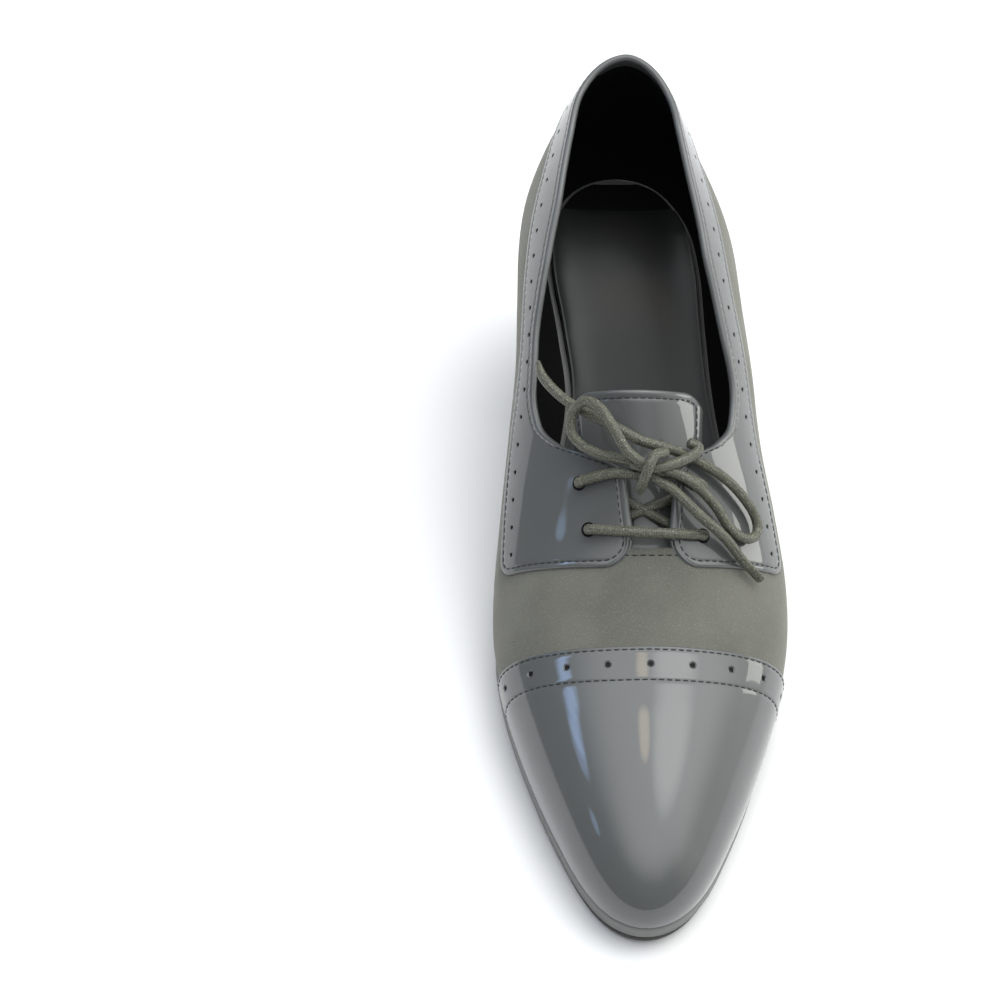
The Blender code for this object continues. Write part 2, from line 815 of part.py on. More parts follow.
def makeLaces(material):
    bars, ends = makeLaceBars(material)
    strands = (("lace_strand_medial", strandMedial, ends[0]), ("lace_strand_lateral", strandLateral, ends[1]))
    for name, rows, end in strands:
        points = [end] + [routePoint(*row) for row in rows]
        tubeObject(name, trimmed(smoothPath(points, laceDiameter * 1.5)), material)
    for name, rows in laceRoutes.items():
        points = [routePoint(*row) for row in rows]
        tubeObject(name, trimmed(smoothPath(points, laceDiameter * 1.5)), material)
    return bars


def punchEyelets(upper):
    """Cuts the lace's holes through the facings."""
    for name in eyelets:
        place, normal = eyeletFrame(name)
        mesh = bpy.data.meshes.new("eyelet_cutter_" + name)
        work = bmesh.new()
        half = eyeletDiameter / 2
        depth = upperWall * 6
        bmesh.ops.create_cone(work, cap_ends=True, segments=16, radius1=half, radius2=half, depth=depth)
        work.to_mesh(mesh)
        work.free()
        cutter = bpy.data.objects.new(mesh.name, mesh)
        bpy.context.scene.collection.objects.link(cutter)
        cutter.location = place
        cutter.rotation_mode = "QUATERNION"
        cutter.rotation_quaternion = Vector(normal).to_track_quat("Z", "Y")
        cutter.hide_render = True
        cutter.display_type = "WIRE"
        cut = upper.modifiers.new("Eyelet " + name, "BOOLEAN")
        cut.operation = "DIFFERENCE"
        cut.solver = "EXACT"
        cut.object = cutter


def clearScene():
    for thing in list(bpy.data.objects):
        bpy.data.objects.remove(thing, do_unlink=True)


def main():
    clearScene()
    patent = finish("greyPatent", (0.16, 0.17, 0.17), 0.12, coat=1.0)
    edge = finish("soleEdge", (0.20, 0.20, 0.19), 0.45)
    tread = finish("treadRubber", (0.035, 0.032, 0.030), 0.60)
    cover = finish("heelCover", (0.16, 0.17, 0.17), 0.20, coat=0.8)
    sock = finish("blackSock", (0.012, 0.012, 0.012), 0.30, coat=0.3)
    cord = finish("waxedLace", (0.13, 0.135, 0.105), 0.55)
    upper = makeUpper(patent)
    punchEyelets(upper)
    makeMidsole(edge)
    makeOutsole(tread)
    makeHeel(cover)
    makeTopPiece(tread)
    makeInsole(sock)
    makeTongue(patent)
    makeLaces(cord)


main()
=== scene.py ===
import math

import bmesh
import bpy
import numpy as np
from mathutils import Matrix, Vector


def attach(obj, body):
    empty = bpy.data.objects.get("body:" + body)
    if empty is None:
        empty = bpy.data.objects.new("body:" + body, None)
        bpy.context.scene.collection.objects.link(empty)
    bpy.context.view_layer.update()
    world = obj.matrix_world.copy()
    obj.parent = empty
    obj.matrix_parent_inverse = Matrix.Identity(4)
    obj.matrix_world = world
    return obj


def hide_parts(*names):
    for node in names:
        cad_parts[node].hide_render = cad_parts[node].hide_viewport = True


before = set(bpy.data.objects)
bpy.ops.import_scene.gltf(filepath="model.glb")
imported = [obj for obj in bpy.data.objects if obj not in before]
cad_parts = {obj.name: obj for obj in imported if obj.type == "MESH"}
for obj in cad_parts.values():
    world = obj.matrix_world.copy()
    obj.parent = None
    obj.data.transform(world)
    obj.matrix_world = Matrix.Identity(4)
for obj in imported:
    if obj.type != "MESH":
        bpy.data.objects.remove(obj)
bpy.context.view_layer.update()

mm = 0.001

# The shoe's own sizes, as in its model: toe towards -Y, heel towards +Y, +X on the outer side
shoe = {
    "length": 0.254,
    "ballWidth": 0.088,
    "heelHeight": 0.060,
    "instepHeight": 0.050,
    "toeSpring": 0.0022,
    "outsole": 0.0025,
    "midsole": 0.0065,
    "margin": 0.0008,
    "backBulge": 0.0030,
    "wall": 0.0018,
    "seam": 0.0003,
}
halfBall = shoe["ballWidth"] / 2
lastLength = shoe["length"] - shoe["margin"] - shoe["backBulge"]
forefootTop = shoe["outsole"] + shoe["midsole"] + 2 * shoe["seam"]
midX = 0.062 * halfBall
midY = shoe["length"] / 2 + 0.0003

# Sections of the last: half widths at the sole, top point, lean and fullness, all shares of the sizes above
sectionColumns = (
    "along", "medial", "lateral", "crown", "rise", "leanMedial", "leanLateral", "wall", "shift", "top",
)
sections = (
    (0.00, 0.00, 0.00, 0.000, 0.00, 0.00, 0.00, 0.56, 0.000, 0.56),
    (0.02, 0.25, 0.26, 0.018, 0.20, 0.00, 0.00, 0.56, 0.005, 0.56),
    (0.05, 0.375, 0.40, 0.045, 0.31, 0.02, 0.02, 0.56, 0.010, 0.56),
    (0.10, 0.51, 0.55, 0.090, 0.42, 0.05, 0.05, 0.56, 0.020, 0.56),
    (0.16, 0.645, 0.70, 0.144, 0.51, 0.07, 0.08, 0.56, 0.035, 0.56),
    (0.23, 0.775, 0.845, 0.204, 0.58, 0.09, 0.13, 0.56, 0.050, 0.56),
    (0.30, 0.87, 0.95, 0.262, 0.635, 0.13, 0.21, 0.56, 0.060, 0.56),
    (0.37, 0.91, 1.00, 0.320, 0.715, 0.20, 0.29, 0.56, 0.065, 0.56),
    (0.44, 0.85, 0.98, 0.380, 0.82, 0.355, 0.375, 0.55, 0.060, 0.55),
    (0.52, 0.68, 0.89, 0.441, 0.92, 0.65, 0.455, 0.53, 0.045, 0.53),
    (0.60, 0.52, 0.76, 0.501, 1.00, 0.88, 0.56, 0.50, 0.020, 0.47),
    (0.68, 0.43, 0.67, 0.560, 1.08, 0.95, 0.665, 0.46, -0.010, 0.40),
    (0.76, 0.48, 0.63, 0.620, 1.14, 0.82, 0.645, 0.42, -0.030, 0.31),
    (0.84, 0.55, 0.61, 0.680, 1.22, 0.65, 0.60, 0.38, -0.035, 0.22),
    (0.91, 0.54, 0.55, 0.735, 1.38, 0.56, 0.50, 0.36, -0.030, 0.18),
    (0.96, 0.42, 0.41, 0.795, 1.68, 0.54, 0.44, 0.34, -0.020, 0.24),
    (1.00, 0.00, 0.00, 0.820, 2.00, 0.38, 0.38, 0.34, -0.010, 0.36),
)
seat = (
    (0.00, 0.000), (0.36, 0.000), (0.41, 0.015), (0.46, 0.055), (0.54, 0.190), (0.62, 0.385),
    (0.70, 0.585), (0.78, 0.755), (0.86, 0.875), (0.94, 0.955), (1.00, 1.000),
)
springEnd = 0.22
toplineColumns = ("along", "medial", "lateral")
topline = (
    (0.45, 0.930, 0.893),
    (0.51, 0.905, 0.865),
    (0.545, 0.885, 0.838),
    (0.556, 0.855, 0.812),
    (0.568, 0.740, 0.755),
    (0.582, 0.610, 0.640),
    (0.605, 0.520, 0.545),
    (0.650, 0.475, 0.508),
    (0.705, 0.472, 0.527),
    (0.760, 0.492, 0.540),
    (0.820, 0.520, 0.560),
    (0.880, 0.545, 0.563),
    (0.930, 0.535, 0.550),
    (0.965, 0.492, 0.500),
    (1.000, 0.452, 0.452),
)
bandLineColumns = ("along", "medial", "lateral")
bandLine = (
    (0.00, 0.33, 0.34),
    (0.47, 0.330, 0.350),
    (0.56, 0.345, 0.375),
    (0.64, 0.370, 0.400),
    (0.71, 0.384, 0.416),
    (0.79, 0.388, 0.436),
    (0.85, 0.404, 0.448),
    (0.90, 0.424, 0.444),
    (0.95, 0.410, 0.415),
    (1.00, 0.360, 0.360),
)
midsoleTable = ((0.00, 1.00), (0.38, 1.00), (0.46, 0.86), (0.56, 0.60), (0.66, 0.52), (1.00, 0.52))
capLine = 0.3905
capBow = {"medial": 0.0150, "lateral": 0.0250}
facingLine = 0.457
facingPace = 0.33


def turnOf(along):
    return np.arccos(1 - 2 * np.asarray(along, float)) / math.pi


def alongOf(turn):
    return (1 - np.cos(math.pi * np.asarray(turn, float))) / 2


class Profile:
    # smooth curve through a column of a table, for arrays of places; its ends are mirrored
    def __init__(self, places, values, oddStart=False, oddEnd=False, steady=False):
        startSign = -1 if oddStart else 1
        endSign = -1 if oddEnd else 1
        self.places = np.array([2 * places[0] - places[1], *places, 2 * places[-1] - places[-2]])
        self.values = np.array([startSign * values[1], *values, endSign * values[-2]])
        gaps = np.diff(self.places)
        grades = np.diff(self.values) / gaps
        inner = (grades[:-1] * gaps[1:] + grades[1:] * gaps[:-1]) / (gaps[:-1] + gaps[1:])
        if steady:
            product = grades[:-1] * grades[1:]
            total = grades[:-1] + grades[1:]
            inner = np.where(product > 0, 2 * product / np.where(total == 0, 1, total), 0)
        self.grades = np.concatenate([[0], inner, [0]])

    def __call__(self, place):
        place = np.clip(place, self.places[1], self.places[-2])
        i = np.searchsorted(self.places, place, side="right") - 1
        i = np.clip(i, 1, len(self.places) - 3)
        gap = self.places[i + 1] - self.places[i]
        s = (place - self.places[i]) / gap
        near = (1 + 2 * s) * (1 - s) ** 2 * self.values[i] + s * (1 - s) ** 2 * gap * self.grades[i]
        far = s * s * (3 - 2 * s) * self.values[i + 1] - s * s * (1 - s) * gap * self.grades[i + 1]
        return near + far


def profilesOf(table, columns, odd=(), oddStart=(), steady=False):
    turns = [float(turnOf(row[0])) for row in table]
    found = {}
    for index, name in enumerate(columns[1:], 1):
        values = [row[index] for row in table]
        found[name] = Profile(turns, values, name in odd or name in oddStart, name in odd, steady)
    return found


section = profilesOf(sections, sectionColumns, odd=("medial", "lateral"), oddStart=("rise",))
seatRise = Profile(*zip(*seat), steady=True)
midsoleShare = Profile(*zip(*midsoleTable), steady=True)
toplineOf = profilesOf(topline, toplineColumns, steady=True)
bandLineOf = profilesOf(bandLine, bandLineColumns)


def bySide(profiles, side, turn, medial="medial", lateral="lateral"):
    return np.where(np.asarray(side) < 0, profiles[medial](turn), profiles[lateral](turn))


def seatHeight(along):
    spring = shoe["toeSpring"] * np.maximum(1 - along / springEnd, 0) ** 2
    return forefootTop + spring + (shoe["heelHeight"] - forefootTop) * seatRise(along)


def stack(x, y, z):
    return np.stack(np.broadcast_arrays(x, y, z), axis=-1)


def featherPoint(turn, side):
    along = alongOf(turn)
    half = bySide(section, side, turn) * halfBall
    return stack(side * half - midX, shoe["margin"] + along * lastLength - midY, seatHeight(along))


def shared(*values):
    return np.broadcast_arrays(*(np.asarray(value, float) for value in values))


def lastPoint(turn, up, side):
    # turn runs from toe to heel, up from the sole (0) to the crown (1), side is -1 inner, 1 outer
    turn, up, side = shared(turn, up, side)
    along = alongOf(turn)
    low = featherPoint(turn, side)
    rise = section["rise"](turn) * shoe["instepHeight"]
    highY = shoe["margin"] + section["crown"](turn) * lastLength - midY
    high = stack(section["shift"](turn) * halfBall - midX, highY, low[..., 2] + rise)
    heelTurn = math.pi / 2 * np.clip((along - 0.80) / 0.20, 0, 1) ** 1.5
    outward = stack(side * np.cos(heelTurn), np.sin(heelTurn), 0.0)
    reach = np.hypot(low[..., 0] - high[..., 0], (low[..., 1] - high[..., 1]) * np.sin(heelTurn))
    lean = bySide(section, side, turn, "leanMedial", "leanLateral") * halfBall
    lowHandle = low + stack(0.0, 0.0, section["wall"](turn) * rise) + outward * lean[..., None]
    highHandle = high + outward * (section["top"](turn) * reach)[..., None]
    t = up[..., None]
    down = 1 - t
    return low * down**3 + 3 * lowHandle * t * down**2 + 3 * highHandle * t * t * down + high * t**3


def outwardNormal(turn, up, side):
    turn, up, side = shared(turn, up, side)
    step = 0.002
    middle = (up >= 1) | (turn >= 1) | (turn <= 0)
    turn = np.clip(turn, 3 * step, 1 - step)
    up = np.clip(up, step, 1 - step)
    forward = lastPoint(turn + step, up, side) - lastPoint(turn - step, up, side)
    upward = lastPoint(turn, up + step, side) - lastPoint(turn, up - step, side)
    normal = np.cross(forward, upward) * side[..., None]
    normal[..., 0] = np.where(middle, 0, normal[..., 0])
    return normal / np.linalg.norm(normal, axis=-1, keepdims=True)


def skinPoint(turn, up, side, lift):
    return lastPoint(turn, up, side) + outwardNormal(turn, up, side) * np.asarray(lift, float)[..., None]


# Lengths up each section, so that rows and seams can be placed in metres from an edge
arcUps = np.linspace(0, 1, 161)


def arcTable(turns, side):
    grid = lastPoint(np.asarray(turns, float)[:, None], arcUps[None, :], side)
    steps = np.linalg.norm(np.diff(grid, axis=1), axis=2)
    return np.concatenate([np.zeros((len(grid), 1)), np.cumsum(steps, axis=1)], axis=1)


def upAt(table, lengths):
    rows = np.atleast_2d(np.asarray(lengths, float))
    if rows.shape[0] == 1:
        rows = np.repeat(rows, len(table), axis=0)
    return np.stack([np.interp(row, arcs, arcUps) for row, arcs in zip(rows, table)])


def lengthAt(table, ups):
    return np.array([np.interp(up, arcUps, arcs) for up, arcs in zip(ups, table)])


print("shape functions ready")


class Socket:
    # wraps a shader socket, so that an expression on values adds its Math nodes
    def __init__(self, shader, link):
        self.shader = shader
        self.link = link

    def math(self, operation, *others):
        return self.shader.node("ShaderNodeMath", {"operation": operation}, *others)

    def __add__(self, other):
        return self.math("ADD", self, other)

    def __radd__(self, other):
        return self.math("ADD", other, self)

    def __sub__(self, other):
        return self.math("SUBTRACT", self, other)

    def __rsub__(self, other):
        return self.math("SUBTRACT", other, self)

    def __mul__(self, other):
        return self.math("MULTIPLY", self, other)

    def __rmul__(self, other):
        return self.math("MULTIPLY", other, self)

    def sine(self):
        return self.math("SINE", self)

    def within(self, low, high):
        settings = {"interpolation_type": "SMOOTHSTEP"}
        return self.shader.node("ShaderNodeMapRange", settings, self, low, high, 0.0, 1.0)


class Shader:
    # a material with one Principled shader, and one method that adds any other node
    def __init__(self, name, **constants):
        self.material = bpy.data.materials.new(name)
        self.material.use_nodes = True
        self.tree = self.material.node_tree
        self.principled = self.tree.nodes["Principled BSDF"]
        for socketName, value in constants.items():
            self.set(socketName.replace("_", " "), value)

    def set(self, socketName, value):
        socket = self.principled.inputs[socketName]
        if isinstance(value, Socket):
            self.tree.links.new(value.link, socket)
        else:
            socket.default_value = (*value, 1) if hasattr(value, "__len__") and len(value) == 3 else value

    def node(self, kind, settings, *values, out=0):
        made = self.tree.nodes.new(kind)
        for name, value in settings.items():
            setattr(made, name, value)
        inputs = [socket for socket in made.inputs if socket.enabled]
        for socket, value in zip(inputs, values):
            if isinstance(value, Socket):
                self.tree.links.new(value.link, socket)
            elif value is not None:
                socket.default_value = value
        found = [socket for socket in made.outputs if socket.enabled]
        return Socket(self, found[out])

    def place(self):
        return self.node("ShaderNodeTexCoord", {}, out=3)

    def noise(self, scale, detail=2.0, roughness=0.5):
        return self.node("ShaderNodeTexNoise", {}, self.place(), scale, detail, roughness)

    def mix(self, share, first, second):
        one = (*first, 1) if isinstance(first, tuple) else first
        two = (*second, 1) if isinstance(second, tuple) else second
        made = self.tree.nodes.new("ShaderNodeMix")
        made.data_type = "RGBA"
        for index, value in ((0, share), (6, one), (7, two)):
            if isinstance(value, Socket):
                self.tree.links.new(value.link, made.inputs[index])
            else:
                made.inputs[index].default_value = value
        return Socket(self, made.outputs[2])

    def bump(self, height, distance, strength=1.0, before=None):
        made = self.tree.nodes.new("ShaderNodeBump")
        made.inputs["Strength"].default_value = strength
        made.inputs["Distance"].default_value = distance
        self.tree.links.new(height.link, made.inputs["Height"])
        if before is not None:
            self.tree.links.new(before.link, made.inputs["Normal"])
        return Socket(self, made.outputs["Normal"])


# Finishes
patentLook = {
    "grey": (0.096, 0.100, 0.099),
    "deep": (0.084, 0.088, 0.088),
    "roughness": 0.30,
    "grain": 0.00005,
}


def makePatent(name, look):
    shader = Shader(name, Coat_Weight=1.0, Coat_Roughness=0.03, Coat_IOR=1.55, Specular_IOR_Level=0.25)
    cloud = shader.noise(38.0, 3.0)
    shader.set("Base Color", shader.mix(cloud, look["grey"], look["deep"]))
    shader.set("Roughness", cloud * 0.10 + look["roughness"])
    wave = shader.noise(60.0, 2.0)
    fine = shader.noise(900.0, 2.0)
    swell = shader.bump(wave, 0.0009, 0.35)
    shader.set("Normal", shader.bump(fine, look["grain"], 0.35, swell))
    return shader.material


suedeLook = {
    "grey": (0.160, 0.159, 0.134),
    "dark": (0.098, 0.099, 0.084),
    "pale": (0.260, 0.256, 0.222),
}


def makeSuedeLook():
    shader = Shader("warmGreySuede", Roughness=0.92, Sheen_Weight=0.35, Sheen_Roughness=0.5)
    shader.set("Sheen Tint", (0.75, 0.74, 0.68))
    nap = shader.noise(2600.0, 2.0, 0.6)
    cloud = shader.noise(55.0, 3.0)
    speck = shader.noise(2300.0, 1.0, 0.4).within(0.55, 0.80)
    tone = shader.mix(cloud.within(0.3, 0.7) * 0.45 + nap * 0.4, suedeLook["dark"], suedeLook["grey"])
    shader.set("Base Color", shader.mix(speck * 0.4, tone, suedeLook["pale"]))
    shader.set("Normal", shader.bump(nap, 0.00022, 0.8))
    return shader.material


def makeLining():
    shader = Shader("blackLining", Roughness=0.95, Specular_IOR_Level=0.1)
    grain = shader.noise(1400.0, 2.0)
    shader.set("Base Color", shader.mix(grain, (0.003, 0.003, 0.003), (0.008, 0.008, 0.008)))
    shader.set("Normal", shader.bump(grain, 0.0001, 0.6))
    return shader.material


def makeSock():
    shader = Shader("blackSock", Coat_Weight=0.25, Coat_Roughness=0.22, Specular_IOR_Level=0.2)
    grain = shader.noise(420.0, 4.0, 0.6)
    cloud = shader.noise(34.0, 2.0)
    shader.set("Base Color", shader.mix(cloud, (0.006, 0.007, 0.007), (0.013, 0.014, 0.014)))
    shader.set("Roughness", cloud * 0.2 + 0.28)
    shader.set("Normal", shader.bump(grain, 0.00012, 0.4))
    return shader.material


def makeEdge(name, colour, dark, roughness):
    shader = Shader(name, Roughness=roughness)
    cloud = shader.noise(90.0, 3.0)
    grain = shader.noise(1100.0, 2.0)
    shader.set("Base Color", shader.mix(cloud, colour, dark))
    shader.set("Normal", shader.bump(grain, 0.00008, 0.4))
    return shader.material


def makeThread(name, dark, pale):
    shader = Shader(name, Roughness=0.6)
    grain = shader.noise(3000.0, 1.0)
    shader.set("Base Color", shader.mix(grain, dark, pale))
    return shader.material


# near-black lining for the walls of punched holes and eyelets: painted shade in the holes
def makeHoleBlack():
    shader = Shader("holeBlack", Roughness=0.8)
    grain = shader.noise(2000.0, 1.0)
    shader.set("Base Color", shader.mix(grain, (0.004, 0.004, 0.004), (0.010, 0.010, 0.010)))
    return shader.material


laceLook = {
    "olive": (0.120, 0.119, 0.086),
    "dark": (0.038, 0.039, 0.029),
    "fleck": (0.420, 0.415, 0.350),
    "flecks": 0.55,
}


def makeLaceWax():
    shader = Shader("waxedLace", Roughness=0.55, Coat_Weight=0.2, Coat_Roughness=0.35)
    around = shader.node("ShaderNodeUVMap", {"uv_map": "cord"})
    split = shader.node("ShaderNodeSeparateXYZ", {}, around)
    along = Socket(shader, split.link.node.outputs[1])
    drift = shader.noise(700.0, 2.0) * 1.1
    first = ((split * 5.0 + along * 2.3 + drift) * 6.2832).sine()
    second = ((split * 5.0 - along * 2.3 + drift) * 6.2832).sine()
    weave = first * second
    nap = shader.noise(2600.0, 2.0)
    patches = shader.noise(260.0, 2.0)
    # the lace's tone runs from dark to olive by fine noise, larger patches and the braid's pattern
    laceTone = nap.within(0.35, 0.65) * 0.5 + patches * 0.35 + weave * 0.22
    tone = shader.mix(laceTone.within(0.0, 0.75), laceLook["dark"], laceLook["olive"])
    fleck = shader.noise(2100.0, 1.0).within(0.56, 0.70) * weave.within(-0.4, 0.5)
    shader.set("Base Color", shader.mix(fleck * laceLook["flecks"], tone, laceLook["fleck"]))
    shader.set("Normal", shader.bump(nap, 0.00012, 0.6))
    return shader.material


patent = makePatent("greyPatent", patentLook)
suede = makeSuedeLook()
lining = makeLining()
sock = makeSock()
soleGrey = ((0.170, 0.172, 0.165), (0.130, 0.132, 0.126))
midsoleEdgeLook = makeEdge("greySoleEdge", *soleGrey, 0.45)
tread = makeEdge("darkTread", (0.030, 0.026, 0.023), (0.018, 0.016, 0.015), 0.6)
# Thread: the near-black copy is painted shade on the grey thread where it sits sunk in its holes; the grey
# copy is the thread's own colour
thread = makeThread("darkThread", (0.010, 0.011, 0.012), (0.028, 0.030, 0.031))
paleThread = makeThread("greyThread", (0.150, 0.152, 0.148), (0.260, 0.262, 0.256))
holeBlack = makeHoleBlack()
laceWax = makeLaceWax()
print("finishes made")


def placed(name, data):
    made = bpy.data.objects.new(name, data)
    bpy.context.scene.collection.objects.link(made)
    return made


def smoothed(mesh, degrees):
    mesh.shade_smooth()
    mesh.set_sharp_from_angle(angle=math.radians(degrees))


def meshObject(name, points, faces, *materials, smoothAngle=40):
    mesh = bpy.data.meshes.new(name)
    mesh.from_pydata(np.asarray(points, float).tolist(), [], [tuple(map(int, face)) for face in faces])
    mesh.validate()
    smoothed(mesh, smoothAngle)
    for material in materials:
        mesh.materials.append(material)
    return placed(name, mesh)


def spread(*stops):
    # values from stop to stop: (value, count), (value, count), ..., last value
    found = []
    for (start, count), following in zip(stops[:-1], stops[1:]):
        end = following[0] if isinstance(following, tuple) else following
        found += [start + (end - start) * i / count for i in range(count)]
    return found + [stops[-1]]


def gridFaces(columns, rows, ringed=False, turned=False):
    faces = []
    for i in range(columns - 1):
        for j in range(rows if ringed else rows - 1):
            k = (j + 1) % rows
            quad = (i * rows + j, (i + 1) * rows + j, (i + 1) * rows + k, i * rows + k)
            faces.append(quad[::-1] if turned else quad)
    return faces


def merged(obj, distance=0.00001):
    # welds what meets, and turns every face outwards
    work = bmesh.new()
    work.from_mesh(obj.data)
    bmesh.ops.remove_doubles(work, verts=work.verts, dist=distance)
    bmesh.ops.dissolve_degenerate(work, edges=work.edges, dist=distance / 10)
    bmesh.ops.recalc_face_normals(work, faces=work.faces)
    work.to_mesh(obj.data)
    work.free()
    return obj


def shellObject(name, outer, inner, *materials, smoothAngle=40):
    # a closed sheet between two grids of the same size
    columns, rows = outer.shape[:2]
    count = columns * rows
    top = gridFaces(columns, rows)
    under = [tuple(corner + count for corner in reversed(face)) for face in top]
    rim = [i * rows for i in range(columns)]
    rim += [(columns - 1) * rows + j for j in range(1, rows)]
    rim += [i * rows + rows - 1 for i in range(columns - 2, -1, -1)]
    rim += list(range(rows - 2, 0, -1))
    wall = [(a, a + count, b + count, b) for a, b in zip(rim, rim[1:] + rim[:1])]
    points = np.concatenate([outer.reshape(-1, 3), inner.reshape(-1, 3)])
    obj = merged(meshObject(name, points, top + under + wall, *materials))
    smoothed(obj.data, smoothAngle)
    return obj


def finished(obj, slotName, *nodes):
    if nodes:
        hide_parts(*nodes)
    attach(obj, "root")
    return obj


class Tree:
    # a Geometry Nodes tree with named number inputs, run once on an object and made a plain mesh
    def __init__(self, name, **inputs):
        self.group = bpy.data.node_groups.new(name, "GeometryNodeTree")
        self.group.interface.new_socket("Geometry", in_out="INPUT", socket_type="NodeSocketGeometry")
        self.values = {}
        for title, value in inputs.items():
            kind = "NodeSocketMaterial" if isinstance(value, bpy.types.Material) else "NodeSocketFloat"
            socket = self.group.interface.new_socket(title, in_out="INPUT", socket_type=kind)
            self.values[title] = (socket.identifier, value)
        self.group.interface.new_socket("Geometry", in_out="OUTPUT", socket_type="NodeSocketGeometry")
        self.start = self.group.nodes.new("NodeGroupInput")
        self.end = self.group.nodes.new("NodeGroupOutput")

    def given(self, title):
        return self.start.outputs[title]

    def node(self, kind, settings=None, out=0, **sockets):
        made = self.group.nodes.new(kind)
        for name, value in (settings or {}).items():
            setattr(made, name, value)
        for name, value in sockets.items():
            numbered = name[0] == "n" and name[1:].isdigit()
            wanted = [s for s in made.inputs if s.name == name.replace("_", " ") and s.enabled]
            socket = made.inputs[int(name[1:])] if numbered else wanted[0]
            if isinstance(value, bpy.types.NodeSocket):
                self.group.links.new(value, socket)
            else:
                socket.default_value = value
        return made.outputs[out]

    def run(self, result, obj):
        self.group.links.new(result, self.end.inputs[0])
        modifier = obj.modifiers.new("tree", "NODES")
        modifier.node_group = self.group
        for identifier, value in self.values.values():
            modifier[identifier] = value
        plain(obj)
        return obj


def plain(obj):
    # the object's evaluated mesh takes its own mesh's place, and its modifiers go
    evaluated = obj.evaluated_get(bpy.context.evaluated_depsgraph_get())
    mesh = bpy.data.meshes.new_from_object(evaluated)
    obj.modifiers.clear()
    obj.data = mesh


def pathObject(name, paths, normals=None):
    # paths as chains of edges, with the surface's normal kept at each point
    points, edges, facing = [], [], []
    for index, path in enumerate(paths):
        start = len(points)
        points += [tuple(point) for point in path]
        edges += [(start + i, start + i + 1) for i in range(len(path) - 1)]
        if normals is not None:
            facing += [tuple(normal) for normal in normals[index]]
    mesh = bpy.data.meshes.new(name)
    mesh.from_pydata(points, edges, [])
    if normals is not None:
        layer = mesh.attributes.new("facing", "FLOAT_VECTOR", "POINT")
        layer.data.foreach_set("vector", np.array(facing).ravel())
    return placed(name, mesh)


def evenPoints(tree, curve):
    byLength = {"mode": "LENGTH"}
    return tree.node("GeometryNodeResampleCurve", byLength, Curve=curve, Length=tree.given("Pitch"))


def stitchRows(name, paths, pitch, bead, thick, material):
    # one sunk bead of thread for each stitch along the paths
    obj = pathObject(name, paths)
    tree = Tree(name, Pitch=pitch, Bead=bead, Thick=thick, Thread=material)
    curve = tree.node("GeometryNodeMeshToCurve", Mesh=tree.given("Geometry"))
    even = evenPoints(tree, curve)
    ball = tree.node("GeometryNodeMeshUVSphere", Segments=8, Rings=6, Radius=0.5)
    thickness = tree.given("Thick")
    size = tree.node("ShaderNodeCombineXYZ", X=thickness, Y=thickness, Z=tree.given("Bead"))
    along = tree.node("GeometryNodeInputTangent")
    turned = tree.node("FunctionNodeAlignRotationToVector", {"axis": "Z"}, Vector=along)
    beads = tree.node(
        "GeometryNodeInstanceOnPoints", Points=even, Instance=ball, Rotation=turned, Scale=size,
    )
    real = tree.node("GeometryNodeRealizeInstances", Geometry=beads)
    smooth = tree.node("GeometryNodeSetShadeSmooth", Geometry=real)
    result = tree.node("GeometryNodeSetMaterial", Geometry=smooth, Material=tree.given("Thread"))
    return tree.run(result, obj)


def punchRow(name, paths, normals, pitch, sink, outerRadius, innerRadius, depth, material):
    # cutters set along the paths, square to the surface, their foot sunk below the path
    obj = pathObject(name, paths, normals)
    sizes = {"Pitch": pitch, "Sink": sink, "Outer": outerRadius, "Inner": innerRadius, "Depth": depth}
    tree = Tree(name, **sizes, Inside=material)
    curve = tree.node("GeometryNodeMeshToCurve", Mesh=tree.given("Geometry"))
    even = evenPoints(tree, curve)
    cone = tree.node(
        "GeometryNodeMeshCone", Vertices=20, Radius_Top=tree.given("Outer"),
        Radius_Bottom=tree.given("Inner"), Depth=tree.given("Depth"),
    )
    down = tree.node("ShaderNodeMath", {"operation": "MULTIPLY"}, n0=tree.given("Sink"), n1=-1.0)
    shift = tree.node("ShaderNodeCombineXYZ", Z=down)
    sunk = tree.node("GeometryNodeTransform", Geometry=cone, Translation=shift)
    asVector = {"data_type": "FLOAT_VECTOR"}
    facing = tree.node("GeometryNodeInputNamedAttribute", asVector, Name="facing")
    turned = tree.node("FunctionNodeAlignRotationToVector", {"axis": "Z"}, Vector=facing)
    cones = tree.node("GeometryNodeInstanceOnPoints", Points=even, Instance=sunk, Rotation=turned)
    real = tree.node("GeometryNodeRealizeInstances", Geometry=cones)
    result = tree.node("GeometryNodeSetMaterial", Geometry=real, Material=tree.given("Inside"))
    return tree.run(result, obj)


def singles(points, normals):
    # a very short path for each point, so that a row puts one cutter there
    paths = [np.array([point, point + normal * 1e-7]) for point, normal in zip(points, normals)]
    return paths, [np.array([normal, normal]) for normal in normals]


def cutWith(obj, cutter, smoothAngle=30):
    # takes the cutter out of the object, and the cutter's material lines the cut
    cut = obj.modifiers.new("cut", "BOOLEAN")
    cut.operation = "DIFFERENCE"
    cut.solver = "EXACT"
    cut.material_mode = "TRANSFER"
    cut.object = cutter
    plain(obj)
    bpy.data.objects.remove(cutter, do_unlink=True)
    smoothed(obj.data, smoothAngle)
    return obj


def punched(obj, name, paths, normals, pitch, punches):
    for punch in punches:
        cutter = punchRow(name, paths, normals, pitch, *punch)
        cutWith(obj, merged(cutter, 0.000005))


# Camera at the photo's place, and the laces, before anything else
view = {
    "place": (-0.05173, -0.3803, 0.515),
    "yaw": math.radians(1.4),
    "down": math.radians(51.2),
    "roll": math.radians(1.1),
    "lens": 72.0,
    "sensor": 36.0,
}


